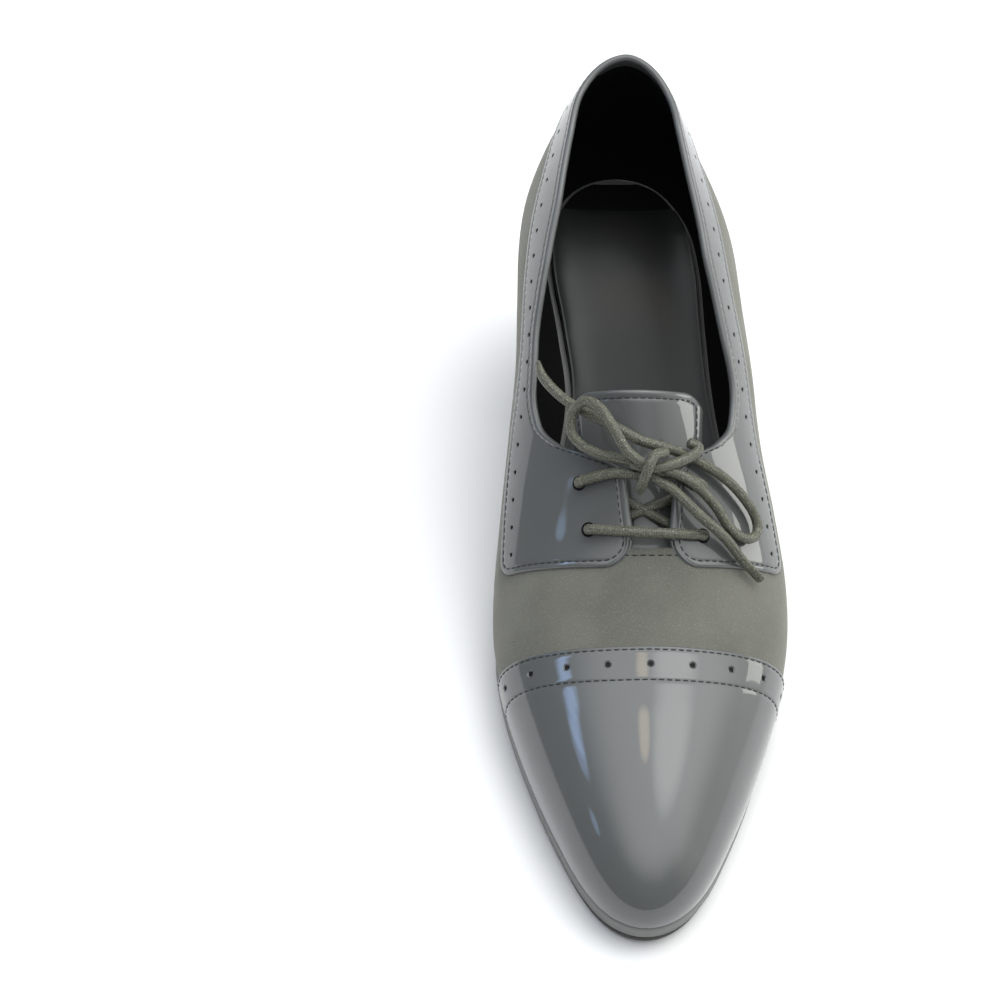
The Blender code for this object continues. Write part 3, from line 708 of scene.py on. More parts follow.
def makeCamera():
    forward = Vector((
        math.sin(view["yaw"]) * math.cos(view["down"]),
        math.cos(view["yaw"]) * math.cos(view["down"]),
        -math.sin(view["down"]),
    ))
    level = Vector((math.cos(view["yaw"]), -math.sin(view["yaw"]), 0))
    upright = level.cross(forward)
    right = level * math.cos(view["roll"]) + upright * math.sin(view["roll"])
    upward = upright * math.cos(view["roll"]) - level * math.sin(view["roll"])
    camera = placed("camera", bpy.data.cameras.new("camera"))
    camera.data.lens = view["lens"]
    camera.data.sensor_width = view["sensor"]
    camera.data.clip_start = 0.01
    turn = Matrix((right, upward, -forward)).transposed()
    camera.matrix_world = Matrix.Translation(view["place"]) @ turn.to_4x4()
    bpy.context.scene.camera = camera


makeCamera()

# The lace's route over the upper, as in the model: place along, distance from the crown, height in diameters
lace = {
    "diameter": 0.0032,
    "bend": 0.0024,
    "sides": 20,
    "step": 0.00045,
    "braid": 0.00011,
    "strands": 6,
    "pitch": 0.0050,
    "flatRun": {"lace_end_lateral": 0.016, "lace_end_medial": 0.006},
    "flatShare": 0.55,
    "eased": {"lace_loop_lateral": 70},
}
eyelets = {
    "medialUpper": (0.5232, -0.284),
    "medialLower": (0.4875, -0.239),
    "lateralLower": (0.4825, 0.232),
    "lateralUpper": (0.5195, 0.252),
}
underFirst = ((0.5130, -0.150, -1.28), (0.5030, 0.000, -1.28), (0.4925, 0.130, -1.28))
underSecond = ((0.4960, -0.130, -1.28), (0.5040, 0.020, -1.28), (0.5120, 0.150, -1.28))
barOver = ((0.4840, 0.100, 1.06), (0.4850, 0.010, 1.06), (0.4860, -0.090, 1.06))
strandMedial = (
    (0.5290, -0.190, 1.02), (0.5312, -0.130, 1.04), (0.5308, -0.075, 1.10), (0.5302, -0.010, 1.15),
)
strandLateral = (
    (0.5260, 0.190, 1.05), (0.5290, 0.145, 1.05), (0.5305, 0.105, 1.10), (0.5320, 0.050, 1.15),
)
laceRoutes = {
    "lace_loop_medial": (
        (0.5382, 0.002, 2.44), (0.5430, -0.035, 2.46), (0.5513, -0.078, 2.50), (0.5666, -0.124, 2.45),
        (0.5793, -0.177, 2.30), (0.5835, -0.239, 2.00), (0.5752, -0.292, 1.70), (0.5615, -0.301, 1.45),
        (0.5520, -0.266, 1.30), (0.5450, -0.195, 1.20), (0.5430, -0.135, 1.15), (0.5408, -0.075, 1.15),
        (0.5390, -0.035, 1.18), (0.5375, 0.010, 1.22),
    ),
    "lace_end_medial": (
        (0.6130, -0.462, 1.05), (0.6030, -0.438, 1.00), (0.5930, -0.395, 0.85), (0.5845, -0.345, 0.70),
        (0.5780, -0.290, 0.60), (0.5700, -0.200, 0.80), (0.5630, -0.105, 1.10), (0.5560, -0.015, 1.15),
        (0.5513, 0.075, 1.10), (0.5470, 0.150, 1.06),
    ),
    "lace_loop_lateral": (
        (0.5470, 0.150, 1.06), (0.5405, 0.215, 1.08), (0.5325, 0.285, 1.20), (0.5215, 0.352, 1.32),
        (0.5090, 0.412, 1.28), (0.4965, 0.458, 1.15), (0.4835, 0.458, 1.06), (0.4790, 0.390, 1.06),
        (0.4880, 0.318, 1.20), (0.5010, 0.280, 1.55), (0.5120, 0.228, 1.95), (0.5215, 0.180, 2.15),
        (0.5290, 0.135, 2.05), (0.5335, 0.085, 1.80),
    ),
    "lace_end_lateral": (
        (0.5345, -0.010, 1.20), (0.5295, 0.025, 1.20), (0.5240, 0.062, 1.30), (0.5195, 0.098, 1.55),
        (0.5105, 0.138, 1.90), (0.4977, 0.186, 2.30), (0.4875, 0.232, 2.35), (0.4773, 0.301, 1.50),
        (0.4620, 0.372, 1.05), (0.4480, 0.455, 0.95),
    ),
    "lace_knot_band": (
        (0.5380, -0.050, 1.70), (0.5362, -0.005, 2.05), (0.5355, 0.050, 2.20), (0.5377, 0.105, 2.25),
        (0.5412, 0.158, 2.25), (0.5452, 0.200, 2.15), (0.5495, 0.215, 1.95), (0.5528, 0.190, 1.60),
    ),
    "lace_knot_wrap": (
        (0.5470, 0.075, 2.45), (0.5455, 0.030, 3.20), (0.5385, 0.010, 3.55), (0.5290, -0.006, 3.20),
        (0.5215, -0.020, 2.20), (0.5185, -0.028, 1.35),
    ),
}


def routePoint(turn, across, off):
    side = -1.0 if across < 0 else 1.0
    return skinPoint(turn, 1 - abs(across), side, off * lace["diameter"])


def smoothPath(points, spacing):
    padded = [2 * points[0] - points[1], *points, 2 * points[-1] - points[-2]]
    dense = []
    for before, start, end, after in zip(padded, padded[1:], padded[2:], padded[3:]):
        for step in range(24):
            t = step / 24
            bend = (2 * before - 5 * start + 4 * end - after) * t * t
            curl = (3 * start - before - 3 * end + after) * t**3
            dense.append((2 * start + (end - before) * t + bend + curl) / 2)
    dense.append(points[-1])
    return evenPath(dense, spacing)


def travelled(path):
    steps = np.linalg.norm(np.diff(path, axis=0), axis=1)
    return np.concatenate([[0], np.cumsum(steps)])


def evenPath(dense, spacing):
    dense = np.asarray(dense)
    reach = travelled(dense)
    count = max(round(reach[-1] / spacing), 2)
    marks = np.linspace(0, reach[-1], count + 1)
    return np.stack([np.interp(marks, reach, dense[:, axis]) for axis in range(3)], axis=1)


def softened(path, rounds):
    # eases the small corners out of a path, its ends kept
    path = path.copy()
    for _ in range(rounds):
        path[1:-1] = (path[:-2] + 2 * path[1:-1] + path[2:]) / 4
    return path


def eyeletFrame(name):
    turn, across = eyelets[name]
    side = -1.0 if across < 0 else 1.0
    return lastPoint(turn, 1 - abs(across), side), outwardNormal(turn, 1 - abs(across), side)


def bendThrough(name, target, height, over):
    place, normal = eyeletFrame(name)
    run = target - place
    run = run - normal * np.dot(run, normal)
    run /= np.linalg.norm(run)
    sign = 1 if over else -1
    middle = place + run * lace["bend"] + normal * (height - sign * lace["bend"])
    angles = [math.pi / 2 * step / 4 for step in range(5)]
    return [middle + (normal * sign * math.cos(a) - run * math.sin(a)) * lace["bend"] for a in angles]


def pathLength(path):
    return float(travelled(path)[-1])


def cordMesh(name, path, flatRun=0.0, flatShare=0.0):
    # a braided tube along the path: strands cross both ways round it, and the caps are domed
    sides = lace["sides"]
    radius = lace["diameter"] / 2
    tangents = np.gradient(path, axis=0)
    tangents /= np.linalg.norm(tangents, axis=1, keepdims=True)
    normal = np.cross(tangents[0], (0.3, 0.2, 1.0))
    normal /= np.linalg.norm(normal)
    step = pathLength(path) / (len(path) - 1)
    capRings = [(-0.85, 0.35), (-0.55, 0.75), (-0.2, 0.95)]
    angles = np.arange(sides + 1) * 2 * math.pi / sides
    across, upright = np.cos(angles)[:, None], np.sin(angles)[:, None]
    rings, marks = [], []
    for index, place in enumerate(path):
        tangent = tangents[index]
        normal = normal - tangent * np.dot(normal, tangent)
        normal /= np.linalg.norm(normal)
        side = np.cross(tangent, normal)
        travel = index * step
        wound = travel / lace["pitch"] * 3 * math.pi
        around = lace["strands"] * angles / 2
        weave = np.sin(around + wound) * np.sin(around - wound)
        away = (radius - lace["braid"] * (1 - np.abs(weave)) * 1.4)[:, None]
        left = len(path) - 1 - index
        squeeze = 1.0
        fromEnd = left * step
        if fromEnd < flatRun:
            squeeze = 1 - flatShare * (1 - fromEnd / flatRun) ** 1.2
        ring = place + across * normal * away * squeeze + upright * side * away
        if index == 0:
            for back, share in capRings:
                rings.append(place + (ring - place) * share + tangent * back * radius * 0.5)
                marks.append(travel)
        rings.append(ring)
        marks.append(travel)
        if left == 0:
            for back, share in reversed(capRings):
                rings.append(place + (ring - place) * share - tangent * back * radius * 0.5)
                marks.append(travel)
    count = sides + 1
    points = np.concatenate(rings)
    faces = gridFaces(len(rings), count)
    capFaces = [tuple(range(sides))[::-1], tuple((len(rings) - 1) * count + j for j in range(sides))]
    obj = meshObject(name, points, faces + capFaces, laceWax, smoothAngle=80)
    layer = obj.data.uv_layers.new(name="cord")
    corner = np.empty(len(obj.data.loops), np.int32)
    obj.data.loops.foreach_get("vertex_index", corner)
    ringOf = corner // count
    around = (corner % count) / sides
    along = np.asarray(marks)[ringOf] / lace["pitch"] * 1.5
    layer.data.foreach_set("uv", np.stack([around, along], axis=1).ravel())
    return merged(obj, 0.000001)


def barPaths():
    over = 1.02 * lace["diameter"]
    under = underFirst[0][2] * lace["diameter"]
    first = [routePoint(*row) for row in underFirst]
    second = [routePoint(*row) for row in underSecond]
    bar = [routePoint(*row) for row in barOver]
    path = bendThrough("medialUpper", routePoint(*strandMedial[0]), over, True)
    path += bendThrough("medialUpper", first[0], under, False)[::-1]
    path += first
    path += bendThrough("lateralLower", first[-1], under, False)
    path += bendThrough("lateralLower", bar[0], over, True)[::-1]
    path += bar
    path += bendThrough("medialLower", bar[-1], over, True)
    place, normal = eyeletFrame("medialLower")
    path.append(place + normal * under)
    crossing = [place + normal * under - (second[0] - place) * 0.25]
    crossing += second
    crossing += bendThrough("lateralUpper", second[-1], under, False)
    crossing += bendThrough("lateralUpper", routePoint(*strandLateral[0]), over, True)[::-1]
    return path, crossing


def joined(name, objects):
    # several meshes as one object
    work = bmesh.new()
    for obj in objects:
        work.from_mesh(obj.data)
    materials = list(objects[0].data.materials)
    mesh = bpy.data.meshes.new(name)
    work.to_mesh(mesh)
    work.free()
    for material in materials:
        mesh.materials.append(material)
    for obj in objects:
        bpy.data.objects.remove(obj, do_unlink=True)
    return placed(name, mesh)


def makeLaces():
    mainPath, crossing = barPaths()
    parts = []
    for index, points in enumerate((mainPath, crossing)):
        path = softened(evenPath(points, lace["step"]), 4)
        parts.append(cordMesh("laceBar" + str(index), path))
    finished(joined("laceBars", parts), "lace", "lace_bars")
    onKnot = []
    for name, rows, end in (
        ("lace_strand_medial", strandMedial, mainPath[0]),
        ("lace_strand_lateral", strandLateral, crossing[-1]),
    ):
        onKnot.append(laceTube(name, [end] + [routePoint(*row) for row in rows])[0])
    for name in ("lace_knot_band", "lace_knot_wrap"):
        onKnot.append(laceTube(name, [routePoint(*row) for row in laceRoutes[name]])[0])
    for name in ("lace_loop_medial", "lace_end_medial", "lace_loop_lateral", "lace_end_lateral"):
        tube, path = laceTube(name, [routePoint(*row) for row in laceRoutes[name]])
        tuple(path[0])
        pathLength(path)
        onKnot if name == "lace_loop_medial" else ()


def laceTube(name, points):
    path = smoothPath(points, lace["step"])
    path = softened(path, lace["eased"].get(name, 0))
    if name == "lace_end_medial":
        path = path[::-1]
    title = name.replace("_", " ").title().replace(" ", "")
    tube = cordMesh(title, path, lace["flatRun"].get(name, 0), lace["flatShare"])
    return finished(tube, "lace", name), path


makeLaces()
print("laces made")

# Upper
upperLook = {
    "suedeFrom": 0.352,
    "suedeThick": 0.0005,
    "vampBack": 0.0155,
    "suedeBelow": 0.0044,
    "liningBelow": 0.0022,
    "liningOut": 0.00055,
    "liningIn": 0.00115,
    "panelStep": 0.0009,
    "capStep": 0.0008,
    "fold": 0.0007,
    "grooveDeep": 0.00014,
    "grooveWide": 0.00042,
    "rim": 0.0013,
    "binding": 0.0036,
}
# Spacing of the points along a row of stitches, and how deep its thread sits
traceStep = 0.0006
threadSink = 0.00012
# Distances in from a folded edge at which a panel has a ring of points
edgeSteps = np.array([0.0, 0.05, 0.15, 0.3, 0.5, 0.75, 1.0, 1.3, 1.55, 1.75, 1.95, 2.15, 2.4, 2.8]) * mm


def capEdge(up, side):
    bow = np.where(np.asarray(side) < 0, capBow["medial"], capBow["lateral"])
    return capLine - bow * (1 - np.asarray(up)) ** 1.5


# Across the upper: -1 at the inner edge of the sole, 0 at the crown, 1 at the outer edge
def upSide(across):
    return 1 - np.abs(across), np.where(across < 0, -1.0, 1.0)


def foldLift(distance, step, grooves):
    # height of a folded panel over what it lies on, by the distance in from its edge
    inside = np.clip(distance / upperLook["fold"], 0, 1)
    lift = step * np.sqrt(np.maximum(1 - (1 - inside) ** 2, 0)) + 0.00002
    for place in grooves:
        share = (distance - place) / upperLook["grooveWide"]
        lift = lift - upperLook["grooveDeep"] * np.exp(-(share**2))
    return lift


def upperSheet(name, turns, closed, rows, below, outside, inside, material):
    # both sides as closed sheets, up to the crown where the upper is closed, and else below the topline
    parts = []
    for side in (-1.0, 1.0):
        table = arcTable(turns, side)
        top = lengthAt(table, bySide(toplineOf, side, turns)) - below
        top = np.where(closed, table[:, -1], top)
        ups = upAt(table, top[:, None] * np.linspace(0, 1, rows)[None, :])
        ups[closed, -1] = 1.0
        depths = [np.full(ups.shape, -deep) for deep in (outside, inside)]
        grids = [skinPoint(turns[:, None], ups, side, depth) for depth in depths]
        if side < 0:
            grids = [grid[:, ::-1] for grid in grids]
        parts.append(shellObject(name, *grids, material))
    return joined(name, parts)


def makeSuede():
    look = upperLook
    back = facingLine + look["vampBack"]
    turns = np.array(spread((look["suedeFrom"], 60), (back, 1), (back + 0.0015, 250), 1.0))
    name = "suedeVampAndQuarters"
    below, thick = look["suedeBelow"], look["suedeThick"]
    sheet = upperSheet(name, turns, turns <= back, 76, below, 0.0, thick, suede)
    return finished(sheet, "patent", "upper")


capLook = {
    "stitchBack": 0.0012,
    "stitchFront": 0.0106,
    "holes": 0.0056,
    "holeCount": 9,
    "holePitch": 0.0121,
    "holeCore": 0.00085,
    "holeMouth": 0.0019,
}


def capRear(up, side):
    # turn of the cap's rear edge, and metres for each unit of turn there
    last = capEdge(up, side)
    span = 0.02
    run = lastPoint(last, up, side) - lastPoint(last - span, up, side)
    return last, np.linalg.norm(run, axis=-1) / span


def capGrid(distances, across, lift):
    # rows of points that keep the same distance from the cap's rear edge
    up, side = upSide(across)
    last, speed = capRear(up, side)
    turns = last[None, :] - distances[:, None] / speed[None, :]
    return skinPoint(turns, up[None, :], side[None, :], lift)


def makeCap():
    look = capLook
    back = look["stitchBack"]
    nearStitch = np.array([-0.5, -0.3, -0.15, 0, 0.15, 0.3, 0.5]) * mm + look["stitchFront"]
    fine = np.concatenate([edgeSteps[:8], np.arange(1.5, 10.0, 0.7) * mm, nearStitch])
    across = np.linspace(-1, 1, 201)
    up, side = upSide(across)
    lift = foldLift(fine[:, None], upperLook["capStep"], (back, look["stitchFront"]))
    near = capGrid(fine, across, np.repeat(lift, len(across), axis=1))
    last, speed = capRear(up, side)
    front = last - (fine[-1] + 0.0009) / speed
    shares = np.linspace(0, 1, 92)[:, None]

    def farRows(lift):
        return skinPoint(shares * front, up, side, np.full((92, len(across)), lift))

    outer = np.concatenate([farRows(upperLook["capStep"] + 0.00002), near[::-1]])
    innerNear = capGrid(fine, across, np.full((len(fine), len(across)), 0.00001))
    inner = np.concatenate([farRows(0.00001), innerNear[::-1]])
    cap = shellObject("toeCap", outer, inner, patent)
    # punched holes between the two rows of stitches
    reach, line = capArc(look["holes"])
    marks = (np.arange(look["holeCount"]) - (look["holeCount"] - 1) / 2) * look["holePitch"]
    places = np.interp(marks, reach, line)
    cutCapHoles(cap, places)
    rows = []
    for distance in (back, look["stitchFront"]):
        line = np.linspace(-0.97, 0.97, 160)
        sunk = np.full((1, 160), upperLook["capStep"] - threadSink)
        rows.append(capGrid(np.array([distance]), line, sunk)[0])
    finished(cap, "patent")
    return rows


def capArc(distance):
    # metres round the cap from its crown along the row of holes, for places across
    line = np.linspace(-1, 1, 201)
    points = capGrid(np.array([distance]), line, np.zeros((1, 201)))[0]
    reach = travelled(points)
    return reach - np.interp(0, line, reach), line


def cutCapHoles(cap, places):
    look, step = capLook, upperLook["capStep"]
    up, side = upSide(places)
    last, speed = capRear(up, side)
    turns = last - look["holes"] / speed
    top = skinPoint(turns, up, side, np.full(len(turns), step))
    normals = outwardNormal(turns, up, side)
    paths, facing = singles(top, normals)
    # the core's near-black walls are painted shade in each hole
    punches = (
        (step - 0.00012, look["holeCore"], look["holeCore"] * 0.92, 0.0020, holeBlack),
        (0.00030, look["holeMouth"], look["holeCore"], 0.0010, patent),
    )
    punched(cap, "capPunch", paths, facing, 1.0, punches)


panelLook = {
    "stitchIn": 0.0019,
    "rimStitch": 0.0013,
    # the lower row is painted shade (near-black thread) ahead of this turn, and the thread's own grey behind
    # it
    "paleFrom": 0.545,
    "lowCorner": 0.0055,
    "highCorner": 0.0085,
    "rimFrom": 0.552,
    "rimGroove": 0.00035,
    "eyeletPunch": (-0.0001, 0.0023, 0.0022, 0.0030),
    "holesUp": 0.0058,
    "holesFrom": 0.016,
    "holePitch": 0.0084,
    "holeCore": 0.00062,
    "holeMouth": 0.00125,
}


def cornerDrop(ahead, radius):
    inward = np.clip(radius - ahead, 0, radius)
    return radius - np.sqrt(np.maximum(radius**2 - inward**2, 0))


class PanelSide:
    # one side of the facings and collar band: its two edges, in metres up the section
    def __init__(self, side, turns):
        self.side = side
        self.turns = np.asarray(turns, float)
        self.table = arcTable(self.turns, side)
        self.low = lengthAt(self.table, bySide(bandLineOf, side, self.turns))
        self.high = lengthAt(self.table, bySide(toplineOf, side, self.turns))
        lowUp = float(bySide(bandLineOf, side, facingLine))
        highUp = float(bySide(toplineOf, side, facingLine))
        self.lowSpeed = self.speed(lowUp)
        self.highSpeed = self.speed(highUp)

    def speed(self, up):
        span = 0.01
        run = lastPoint(facingLine + span, up, self.side) - lastPoint(facingLine, up, self.side)
        return float(np.linalg.norm(run)) / span

    def ahead(self, share):
        pace = self.lowSpeed + (self.highSpeed - self.lowSpeed) * share
        return (self.turns[:, None] - facingLine) * pace

    def point(self, lengths, lift):
        ups = upAt(self.table, lengths)
        return skinPoint(self.turns[:, None], ups, self.side, lift)


def panelTurns():
    front = [facingLine + float(d) / facingPace for d in edgeSteps]
    return front + spread((front[-1] + 0.0015, 60), (0.560, 130), 0.9995)


def ringOf(panelSide):
    look, edge = panelLook, upperLook
    lowDrop = cornerDrop(panelSide.ahead(0.0)[:, 0], look["lowCorner"])
    highDrop = cornerDrop(panelSide.ahead(1.0)[:, 0], look["highCorner"])
    low = panelSide.low + lowDrop
    high = panelSide.high - highDrop
    lowRows = low[:, None] + edgeSteps[None, :]
    topSteps = np.array([2.6, 2.2, 1.9, 1.7, 1.5, 1.3, 1.1, 0.9, 0.7, 0.4, 0.0]) * mm
    highRows = high[:, None] - topSteps[None, :]
    shares = np.linspace(0, 1, 40)[1:-1]
    between = lowRows[:, -1:] + (highRows[:, :1] - lowRows[:, -1:]) * shares[None, :]
    places = np.concatenate([lowRows, between, highRows], axis=1)
    wide = panelSide.high - panelSide.low
    ahead = panelSide.ahead((places - panelSide.low[:, None]) / wide[:, None])
    aboveLow = places - panelSide.low[:, None]
    belowHigh = panelSide.high[:, None] - places
    distance = np.minimum(ahead, aboveLow)
    for radius, other in ((look["lowCorner"], aboveLow), (look["highCorner"], belowHigh)):
        inward, sideways = radius - ahead, radius - other
        rounded = radius - np.hypot(np.maximum(inward, 0), np.maximum(sideways, 0))
        distance = np.where((inward > 0) & (sideways > 0), np.minimum(distance, rounded), distance)
    lift = foldLift(distance, edge["panelStep"], (look["stitchIn"],))
    fromRim = high[:, None] - places
    rimGroove = np.exp(-(((fromRim - look["rimStitch"]) / look["rimGroove"]) ** 2))
    lift = lift - edge["grooveDeep"] * rimGroove * (fromRim < 0.004)
    outer = panelSide.point(places, lift)
    # rim, rolled over from the outside to the binding inside
    rimUp = upAt(panelSide.table, high[:, None])[:, 0]
    normal = outwardNormal(panelSide.turns, rimUp, panelSide.side)
    foot = lastPoint(panelSide.turns, rimUp, panelSide.side)
    above = lastPoint(panelSide.turns, rimUp + 0.004, panelSide.side) - foot
    above /= np.linalg.norm(above, axis=1, keepdims=True)
    depth = -edge["rim"]
    middle = (lift[:, -1] + depth) / 2
    half = (lift[:, -1] - depth) / 2
    angles = np.linspace(0, math.pi, 12)[1:-1]
    rim = foot[:, None] + normal[:, None] * (middle[:, None] + half[:, None] * np.cos(angles))[..., None]
    rim = rim + above[:, None] * (half[:, None] * np.sin(angles))[..., None]
    down = np.array([0.0, 0.3, 0.6, 0.88, 0.97, 1.0, 1.0]) * edge["binding"]
    inside = np.array([1, 1, 1, 1, 0.97, 0.9, 0.85]) * depth
    inside = np.repeat(inside[None, :], len(high), axis=0)
    inner = panelSide.point(high[:, None] - down[None, :], inside)
    backDown = np.array([0.0036, 0.0033, 0.0031, 0.0028])
    backLift = np.array([-0.0006, -0.0006, -0.0006, -0.0002])
    backLift = np.repeat(backLift[None, :], len(high), axis=0)
    back = panelSide.point(high[:, None] - backDown[None, :], backLift)
    lowBack = low[:, None] + np.array([0.001, 0.0])[None, :]
    foldBack = panelSide.point(lowBack, np.full(lowBack.shape, 0.00001))
    return np.concatenate([outer, rim, inner, back, foldBack], axis=1)


def panelLine(panelSide, inset, which):
    # a line that keeps its distance from the panel's lower edge and front, or from its rim and front
    look = panelLook
    lower = which == "low"
    ahead = panelSide.ahead(0.0 if lower else 1.0)[:, 0] - inset
    radius = look["lowCorner" if lower else "highCorner"] - inset
    kept = ahead >= 0
    drop = cornerDrop(ahead[kept], radius)
    low, high = panelSide.low[kept], panelSide.high[kept]
    lengths = low + inset + drop if lower else high - inset - drop
    return panelSide.turns[kept], upAt(panelSide.table[kept], lengths[:, None])[:, 0]


def onPanel(turns, ups, side, lift):
    return skinPoint(turns, ups, side, np.full(len(turns), lift))


def makePanel():
    look, edge = panelLook, upperLook
    rings, stitches = [], []
    sides = {side: PanelSide(side, panelTurns()) for side in (-1.0, 1.0)}
    for side, panelSide in sides.items():
        ring = ringOf(panelSide)
        rings.append(ring if side < 0 else ring[::-1])
    points = np.concatenate(rings)
    rows = points.shape[1]
    faces = gridFaces(len(points), rows, ringed=True)
    first = tuple(range(rows))
    last = tuple((len(points) - 1) * rows + j for j in range(rows))[::-1]
    allFaces = faces + [first, last]
    panel = merged(meshObject("facingsAndCollar", points.reshape(-1, 3), allFaces, patent))
    sunk = edge["panelStep"] - threadSink
    for side in (-1.0, 1.0):
        fine = np.linspace(facingLine, 0.9995, 900)
        lineSide = PanelSide(side, fine)
        lowTurns, lowUps = panelLine(lineSide, look["stitchIn"], "low")
        highTurns, highUps = panelLine(lineSide, look["stitchIn"], "high")
        inFront = highTurns < look["rimFrom"]
        rimTurns, rimUps = panelLine(lineSide, look["rimStitch"], "high")
        behind = rimTurns >= look["rimFrom"]
        frontUps = np.linspace(lowUps[0], highUps[0], 60)
        shares = (frontUps - lowUps[0]) / (highUps[0] - lowUps[0])
        pace = lineSide.lowSpeed + (lineSide.highSpeed - lineSide.lowSpeed) * shares
        frontTurns = facingLine + look["stitchIn"] / pace
        turns = np.concatenate([lowTurns[::-1], frontTurns[1:-1], highTurns[inFront]])
        ups = np.concatenate([lowUps[::-1], frontUps[1:-1], highUps[inFront]])
        around = onPanel(turns, ups, side, sunk)
        rim = onPanel(rimTurns[behind], rimUps[behind], side, sunk)
        far = look["paleFrom"]
        # near-black thread as painted shade on the lower row ahead of paleFrom and on the front and upper
        # rows; the thread's own grey behind it
        dark = np.concatenate([lowTurns[::-1] < far, np.full(len(turns) - len(lowTurns), True)])
        stitches.append((evenPath(around[dark], traceStep), thread))
        stitches.append((evenPath(around[: np.count_nonzero(~dark)][::-1], traceStep), paleThread))
        stitches.append((evenPath(rim, traceStep), paleThread))
    # perforations above the lower edge, from one facing round the heel to the other
    line = []
    for side in (-1.0, 1.0):
        turns = np.linspace(facingLine + look["holesFrom"], 0.9995, 300)
        holeSide = PanelSide(side, turns)
        ups = upAt(holeSide.table, (holeSide.low + look["holesUp"])[:, None])[:, 0]
        order = slice(None) if side < 0 else slice(None, None, -1)
        line.append((turns[order], ups[order], np.full(len(turns), side)))
    turns, ups, ones = (np.concatenate(column) for column in zip(*line))
    path = skinPoint(turns, ups, ones, np.full(len(turns), edge["panelStep"]))
    normals = outwardNormal(turns, ups, ones)
    # the core's near-black walls are painted shade in each hole
    punches = (
        (edge["panelStep"] - 0.00015, look["holeCore"], look["holeCore"] * 0.92, 0.0020, holeBlack),
        (0.00020, look["holeMouth"], look["holeCore"], 0.0008, patent),
    )
    punched(panel, "collarPunch", [path], [normals], look["holePitch"], punches)
    paths, facing = singles(*zip(*(eyeletFrame(name) for name in eyelets)))
    # the eyelets' near-black walls are painted shade
    punched(panel, "eyeletPunch", paths, facing, 1.0, [(*look["eyeletPunch"], holeBlack)])
    finished(panel, "patent")
    return stitches


def makeLiningSheet():
    look = upperLook
    turns = np.array(spread((0.02, 50), (facingLine, 160), 1.0))
    places = (look["liningBelow"], look["liningOut"], look["liningIn"])
    sheet = upperSheet("innerLining", turns, turns < facingLine, 60, *places, lining)
    return finished(sheet, "patent")


makeSuede()
capStitches = makeCap()
panelStitches = makePanel()
makeLiningSheet()
print("upper made")

# Tongue
tongueLook = {
    "start": 0.456,
    "end": 0.592,
    "low": 0.466,
    "high": 0.490,
    "flat": 0.530,
    "foot": 0.292,
    "head": 0.410,
    "corner": 0.018,
    "cornerFrom": 0.74,
    "room": 0.0042 * 1.2,
    "thick": 0.0016,
    "stitchIn": 0.0018,
    "halfWide": 0.0205,
    "pace": 0.30,
}


def ease(value, low, high):
    share = np.clip((value - low) / (high - low), 0, 1)
    return share * share * (3 - 2 * share)


def tonguePoint(turn, share, extra):
    # close under the vamp at its start, then sunk away from it and flattened into an even arch
    look = tongueLook
    turn, share = shared(turn, share)
    sunk = look["room"] * ease(turn, look["low"], look["high"])
    drop = shoe["seam"] + upperLook["liningIn"] + sunk + extra
    end = np.clip((turn - look["high"]) / (look["end"] - look["high"]), 0, 1)
    outside = np.clip((np.abs(share) - look["cornerFrom"]) / (1 - look["cornerFrom"]), 0, 1)
    bent = turn - look["corner"] * (1 - np.sqrt(1 - outside**2 * 0.96)) * end
    wide = look["foot"] + (look["head"] - look["foot"]) * end
    side = np.where(share < 0, -1.0, 1.0)
    bowed = skinPoint(bent, 1 - np.abs(share) * wide, side, -drop)
    middle = skinPoint(bent, np.ones(bent.shape), 1.0, -drop)
    inner = skinPoint(bent, 1 - wide, -1.0, -drop)
    outer = skinPoint(bent, 1 - wide, 1.0, -drop)
    across = share[..., None]
    arch = middle + (outer - inner) / 2 * across + ((outer + inner) / 2 - middle) * across**2
    return bowed + (arch - bowed) * ease(turn, look["high"], look["flat"])[..., None]


def makeTongue():
    look = tongueLook
    halfWide, pace = look["halfWide"], look["pace"]
    shareIn = edgeSteps / halfWide
    middle = np.linspace(-1 + shareIn[-1], 1 - shareIn[-1], 50)[1:-1]
    shares = np.concatenate([-1 + shareIn, middle, (1 - shareIn)[::-1]])[None, :]
    last = look["end"] - edgeSteps[-1] / pace
    turns = spread((look["start"], 70), last) + list(look["end"] - edgeSteps[::-1][1:] / pace)
    turns = np.array(turns)[:, None]
    distance = np.minimum((look["end"] - turns) * pace, (1 - np.abs(shares)) * halfWide)
    inside = np.clip(distance / upperLook["fold"], 0, 1)
    half = look["thick"] / 2 * np.sqrt(np.maximum(1 - (1 - inside) ** 2, 0))
    groove = upperLook["grooveDeep"] * np.exp(-(((distance - look["stitchIn"]) / 0.0004) ** 2))
    top = tonguePoint(turns, shares, look["thick"] / 2 - half + groove)
    bottom = tonguePoint(turns, shares, look["thick"] / 2 + half)
    tongue = shellObject("tongue", top, bottom, patent)
    inset = look["stitchIn"]
    endTurn = look["end"] - inset / pace
    across = 1 - inset / halfWide
    leg = np.linspace(0.50, endTurn, 60)
    rowTurns = np.concatenate([leg, np.full(60, endTurn), leg[::-1]])
    rowShares = np.repeat([-across, 0, across], 60)
    rowShares[60:120] = np.linspace(-across, across, 60)
    row = softened(evenPath(tonguePoint(rowTurns, rowShares, threadSink), traceStep), 6)
    finished(tongue, "patent", "tongue")
    return row


tongueStitches = makeTongue()
print("tongue made")

stitchLook = {
    "pitch": 0.0023,
    "bead": 0.0019,
    "thick": 0.00048,
    "vampIn": 0.0018,
    "vampReach": 0.16,
    "vampLift": 0.00004,
}


